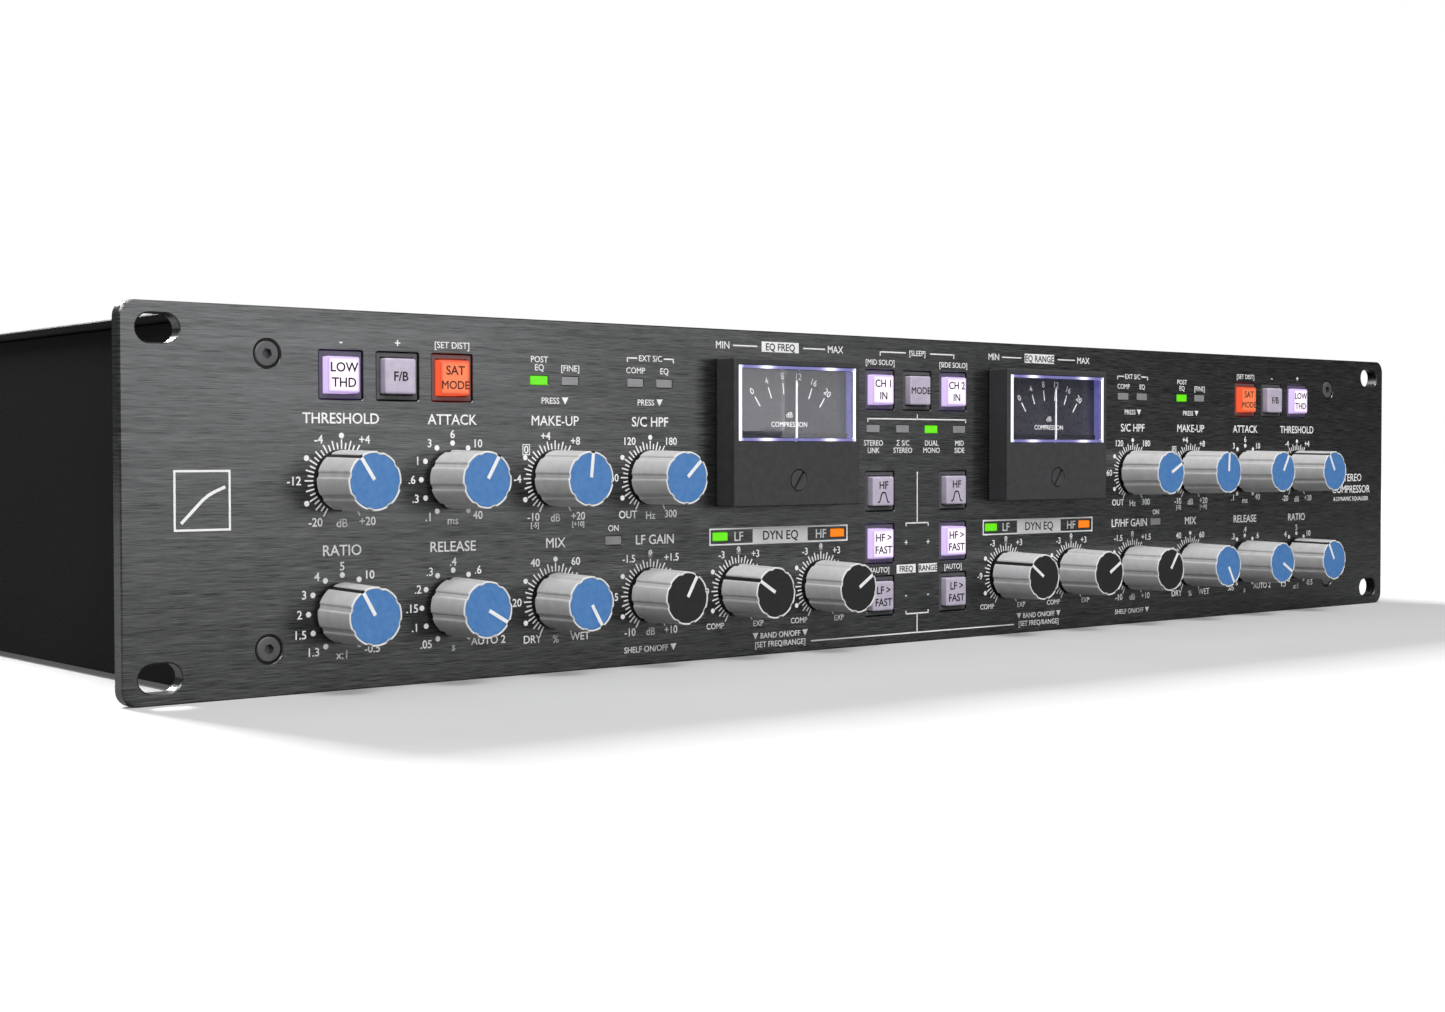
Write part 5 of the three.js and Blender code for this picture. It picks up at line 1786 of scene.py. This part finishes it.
@dataclass
class Chassis:
    """Tray, cover and rear panel, with their screws, sockets and inlet, and what is inside."""

    bench: Bench
    hole: float = 1.7
    side_screws: float = 214.0
    cover_rows: tuple[float, ...] = (22.3, 154.45, 286.6)
    rear_rows: tuple[float, ...] = (-30.5, 28.8)
    socket_z: float = -16.0
    socket_radius: float = 12.0
    sockets: tuple[float, ...] = (182.0, 146.0, 102.0, 66.0)
    inputs: int = 2  # the first of the sockets have contact holes, and the others pins
    pin_circle: float = 4.1
    jacks: tuple[float, ...] = (26.0, -4.0)
    jack_radius: float = 5.8
    vent: tuple[float, float] = (3.0, 26.0)
    vent_middle: tuple[float, float] = (-88.0, 14.0)
    vent_pitch: float = 7.0
    inlet: tuple[float, float] = (-170.0, -12.0)
    inlet_cut: tuple[float, float] = (50.6, 24.6)
    inlet_cavity: float = -160.5
    rocker: float = -185.0

    def cover(self) -> None:
        """Makes the cover and its six screws."""
        low, high = self.bench.box("top_cover")
        middle, deep = (low + high) / 2, high.y - low.y
        holes = [Window.hole(side * self.side_screws, y, self.hole, 0.15)
                 for side in SIDES for y in self.cover_rows]
        outline = Window(0, middle.y, high.x - low.x, deep, 1.5, 0.35)
        sheet = Shape.plate(outline, holes, -high.z, -low.z).fit((0, 0, 0), Facing.UP)
        self.bench.piece("cover_sheet", sheet, [COAT], stands_for=("top_cover",))
        screws = Shape()
        for hole in holes:
            place = (hole.x, hole.z, high.z + 1.25)
            screws.take(SHEET_SCREW.socket_screw().fit(place, Facing.UP, hole.z))
        self.bench.piece("cover_screws", screws, [OXIDE])

    def rear(self) -> None:
        """Makes the rear panel and its four screws."""
        low, high = self.bench.box("rear_panel")
        middle = (low + high) / 2
        round_holes = [(side * self.side_screws, z, self.hole)
                       for side in SIDES for z in self.rear_rows]
        fasteners = list(round_holes)
        round_holes += [(x, self.socket_z, self.socket_radius) for x in self.sockets]
        round_holes += [(x, self.socket_z, self.jack_radius) for x in self.jacks]
        holes = [Window.hole(*hole, 0.12) for hole in round_holes]
        x, z = self.vent_middle
        holes += [Window(x + self.vent_pitch * step, z, *self.vent, self.vent[0] / 2, 0.12)
                  for step in range(-4, 5)]
        holes.append(Window(*self.inlet, *self.inlet_cut, 0.6, 0.12))
        outline = Window(0, middle.z, high.x - low.x, high.z - low.z, 0.8, 0.25)
        self.bench.piece("rear_sheet", Shape.plate(outline, holes, low.y, high.y), [COAT],
                         stands_for=("rear_panel",))
        screws = Shape()
        for x, z, _ in fasteners:
            place = (x, high.y + 1.25, z)
            screws.take(SHEET_SCREW.socket_screw().fit(place, Facing.REAR, x))
        self.bench.piece("rear_screws", screws, [OXIDE])

    def nut(self) -> Shape:
        """A jack's hexagon nut, its back on the panel."""
        shape = Shape()
        bm = shape.bm
        for sides, radius in ((6, 7.6), (24, 5.55)):
            bmesh.ops.create_circle(bm, cap_ends=False, segments=sides, radius=radius)
        stand_up(bm, bm.verts[:])
        ring = bmesh.ops.triangle_fill(bm, use_beauty=True, edges=bm.edges[:])["geom"]
        faces = pick(ring, bmesh.types.BMFace)
        made = bmesh.ops.extrude_face_region(bm, geom=faces)["geom"]
        bmesh.ops.translate(bm, vec=(0, -1.8, 0), verts=pick(made, bmesh.types.BMVert))
        bmesh.ops.recalc_face_normals(bm, faces=bm.faces)
        return shape

    def sockets_trim(self) -> None:
        """Makes the sockets' flanges, shells, contacts and nuts, and their printed names."""
        face, height = self.bench.box("rear_panel")[1].y, self.socket_z
        flanges, shells, gold, screws, nuts = (Shape() for _ in range(5))
        outline = Window(0, 0, 26, 31, 2.0, 0.25)
        corners = [Window.hole(-9.5 * side, 12 * side, 1.6, 0.1) for side in SIDES]
        rim = [(10.4, -1.5), (8.6, -1.5), (8.4, -1.2), (8.4, 3.0), (11.6, 3.0), (11.6, -0.9)]
        sleeve = [(1.0, 0.35), (1.45, 0.35), (1.45, 6.0), (1.0, 6.0)]
        pin = [(0, 2.0), (0.9, 2.15), (1.25, 2.7), (1.25, 12), (0, 12)]
        for index, x in enumerate(self.sockets):
            at = (x, face, height)
            plate = Shape.plate(outline, [Window.hole(0, 0, 11.8, 0.15), *corners], -1.1, -0.02)
            flanges.take(plate.fit(at, Facing.REAR))
            shells.take(Shape.turned(rim, 64, ring=True).fit(at, Facing.REAR))
            for spot in corners:
                screw = Fastener(1.5, 0.9, 0.6, 0.6, 0.35, 0.9, 1.0).socket_screw()
                screws.take(screw.fit((x - spot.x, face + 1.5, height + spot.z), Facing.REAR, 20))
            is_input = index < self.inputs
            for turn in (math.radians(angle) for angle in (90, -30, -150)):
                contact = Shape.turned(sleeve if is_input else pin, 24, ring=is_input)
                contact.fit((x + self.pin_circle * math.sin(turn), face,
                             height + self.pin_circle * math.cos(turn)), Facing.REAR)
                gold.take(contact)
        for x in self.jacks:
            nuts.take(self.nut().fit((x, face + 0.02, height), Facing.REAR, 10 + x))
        self.bench.piece("socket_flanges", flanges, [SOCKET])
        self.bench.piece("socket_shells", shells, [NICKEL])
        self.bench.piece("socket_contacts", gold, [GOLD])
        self.bench.piece("socket_screws", screws, [OXIDE])
        self.bench.piece("jack_nuts", nuts, [NICKEL])
        words = Shape()
        names = list(zip(self.sockets, ("INPUT 1", "INPUT 2", "OUTPUT 1", "OUTPUT 2")))
        names += list(zip(self.jacks, ("S/C 1", "S/C 2")))
        for x, text in names:
            words.take(Shape.word(text, 2.6).fit((x, face, height + 20.5), Facing.REAR))
        x, z = self.inlet
        words.take(Shape.word("MAINS", 2.6).fit((x, face, z + 20), Facing.REAR))
        self.bench.piece("rear_legend", words, [LEGEND_WHITE])

    def mains(self) -> None:
        """Makes the inlet's blades and screws, and the marks beside its rocker."""
        face = self.bench.box("mains_inlet")[1].y
        middle, height = self.inlet
        blades, screws, marks = (Shape() for _ in range(3))
        for x, z in ((-7, -2), (7, -2), (0, 2)):
            x, z = self.inlet_cavity + x, height + z
            blades.take(Shape.slab((x - 1.1, face - 13, z - 2.1), (x + 1.1, face - 0.9, z + 2.1),
                                   0.3, 0.5))
        self.bench.piece("inlet_blades", blades, [NICKEL])
        for side in SIDES:
            screw = Fastener(2.2, 1.0, 0.8, 0.6, 0.5, 1.2, 1.0).socket_screw()
            place = (middle + side * 26.6, face + 0.9, height + 12.6)
            screws.take(screw.fit(place, Facing.REAR, 15))
        self.bench.piece("inlet_screws", screws, [OXIDE])
        for text, rise in (("I", 12.2), ("O", -12.2)):
            marks.take(Shape.word(text, 2.2).fit((self.rocker, face, height + rise), Facing.REAR))
        self.bench.piece("inlet_marks", marks, [LEGEND_WHITE])

    def boards(self) -> None:
        """Dresses the boards, the supply and the moving pieces behind the panels."""
        row = self.bench.to_row.translation
        main = CircuitBoard("Main board and its parts", "circuit_board", BOARD_GREEN, 0.4,
                            level=-32.9, axis=2, zero=row.z)
        control = CircuitBoard("Control board and its parts", "circuit_board", BOARD_GREEN, 0.4,
                               level=14.4, axis=1, zero=row.y, above=False)
        for node, finish, rounding in (("main_board", main, 0), ("control_board", control, 0),
                                       ("power_supply", SUPPLY, 0), ("mains_inlet", SOCKET, 0.3),
                                       ("mains_rocker", SOCKET, 0.4)):
            self.bench.dress(node, finish, rounding)
        for node in self.bench.nodes:
            if node.startswith("plunger_"):
                self.bench.dress(node, SOCKET)

    def build(self) -> None:
        """Makes and dresses the whole chassis."""
        self.bench.dress("chassis_tray", COAT, 0.4)
        self.cover()
        self.rear()
        self.sockets_trim()
        self.mains()
        self.boards()


# ---- Studio -------------------------------------------------------------------------------------


@dataclass
class Studio:
    """Floor, lights and camera, in metres."""

    bench: Bench
    camera_place: Point = (-417.44, -413.86, 10.35)  # panel mm
    camera_turn: Point = (88.553, -0.073, -39.72)  # degrees
    lens: float = 50.13
    floor: float = 6.0
    ambient: float = 0.06

    def show(self, name: str, data: bpy.types.ID, place: Matrix) -> bpy.types.Object:
        """Puts a lamp, camera or mesh in the scene."""
        made = bpy.data.objects.new(name, data)
        bpy.context.scene.collection.objects.link(made)
        made.matrix_world = place
        return made

    def camera(self) -> None:
        """Sets the camera up."""
        data = bpy.data.cameras.new("Camera")
        data.lens = self.lens
        data.sensor_width = 36.0
        data.clip_start = 0.01
        pitch, roll, yaw = (math.radians(angle) for angle in self.camera_turn)
        place = Matrix.Translation(self.bench.to_row @ Vector(self.camera_place))
        turn = Matrix.Rotation(yaw, 4, "Z") @ Matrix.Rotation(pitch, 4, "X")
        roll = Matrix.Rotation(roll, 4, "Z")
        bpy.context.scene.camera = self.show("Camera", data, place @ turn @ roll)

    def lamp(self, name: str, place: Point, aim: Point, size: tuple[float, float],
             power: float) -> None:
        """Hangs a white softbox.

        Args:
            name: of the lamp.
            place: where it hangs.
            aim: the point that it faces.
            size: width and height.
            power: in watts.
        """
        data = bpy.data.lights.new(name, "AREA")
        data.shape = "RECTANGLE"
        data.size, data.size_y = size
        data.energy = power
        turn = (Vector(place) - Vector(aim)).to_track_quat("Z", "Y").to_matrix().to_4x4()
        self.show(name, data, Matrix.Translation(place) @ turn)

    def sweep(self) -> None:
        """Lays the floor."""
        bm = bmesh.new()
        bmesh.ops.create_grid(bm, x_segments=8, y_segments=8, size=self.floor)
        mesh = bpy.data.meshes.new("floor")
        bm.to_mesh(mesh)
        bm.free()
        mesh.materials.append(StudioFloor("Pale studio floor", "", "#B4B4B4", 0.9).material())
        self.show("floor", mesh, Matrix())

    def surroundings(self) -> None:
        """Makes the world white to the eye, and dim as a light."""
        world = bpy.data.worlds.new("Studio")
        bpy.context.scene.world = world
        world.use_nodes = True
        tree = world.node_tree
        tree.nodes.clear()
        sight = add_node(tree, "ShaderNodeLightPath").outputs["Is Camera Ray"]
        shade, seen = (add_node(tree, "ShaderNodeBackground", None,
                                {"Color": linear("#FFFFFF"), "Strength": strength}).outputs[0]
                       for strength in (self.ambient, 1.0))
        both = add_node(tree, "ShaderNodeMixShader", None, {0: sight, 1: shade, 2: seen})
        add_node(tree, "ShaderNodeOutputWorld", None, {"Surface": both.outputs[0]})

    def build(self) -> None:
        """Sets up floor, world and lights."""
        self.sweep()
        self.surroundings()
        self.lamp("key", (0.0, -1.25, 1.9), (-0.1, -0.14, 0.04), (0.9, 0.7), 29)
        self.lamp("wall", (0.45, -1.65, 0.3), (-0.05, -0.14, 0.05), (0.85, 1.1), 5.8)
        self.lamp("left", (-1.2, -1.3, 1.25), (-0.1, -0.1, 0.04), (0.8, 0.8), 21)
        # Two narrow panels that the left meter's window mirrors. The left one ends above the other.
        self.lamp("strip_left", (1.209, -1.689, 0.2925), (-0.053, -0.155, 0.2925),
                  (0.134, 0.415), 0.3)
        self.lamp("strip_right", (1.334, -1.618, 0.25), (-0.053, -0.155, 0.25), (0.154, 0.5), 0.31)
        self.lamp("top", (-0.1, 0.1, 1.7), (0, 0.1, 0), (1.6, 1.4), 8)
        self.lamp("back", (-0.3, 1.6, 1.35), (0.1, -0.1, 0), (0.5, 0.5), 105)
        bpy.context.scene.view_settings.view_transform = "Standard"


def write_sizes() -> None:
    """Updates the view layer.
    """
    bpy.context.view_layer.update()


def main() -> None:
    """Builds the compressor and its studio."""
    logging.basicConfig(level=logging.INFO, format="%(message)s")
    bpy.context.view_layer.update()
    bench = Bench(frame)
    studio = Studio(bench)
    studio.camera()
    layout = Layout(bench)
    FrontPanel(bench).build(layout)
    knob = Knob(bench)
    for name in layout.knobs:
        dark = name[:-2] in ("band_gain", "low_band", "high_band")
        knob.build(name, BLACK_CAP if dark else BLUE_CAP)
    button = PushButton(bench)
    for name, (lines, glow) in BUTTONS.items():
        button.build(name, lines, glow)
    button.bezels(layout.buttons)
    StatusLamps(bench).build(layout.lamps)
    for channel, x in layout.meters.items():
        Meter(bench).build(channel, x)
    Legend(bench, layout).build()
    Chassis(bench).build()
    studio.build()
    log.info("%d pieces", bench.pieces)
    write_sizes()


if __name__ == "__main__":
    main()
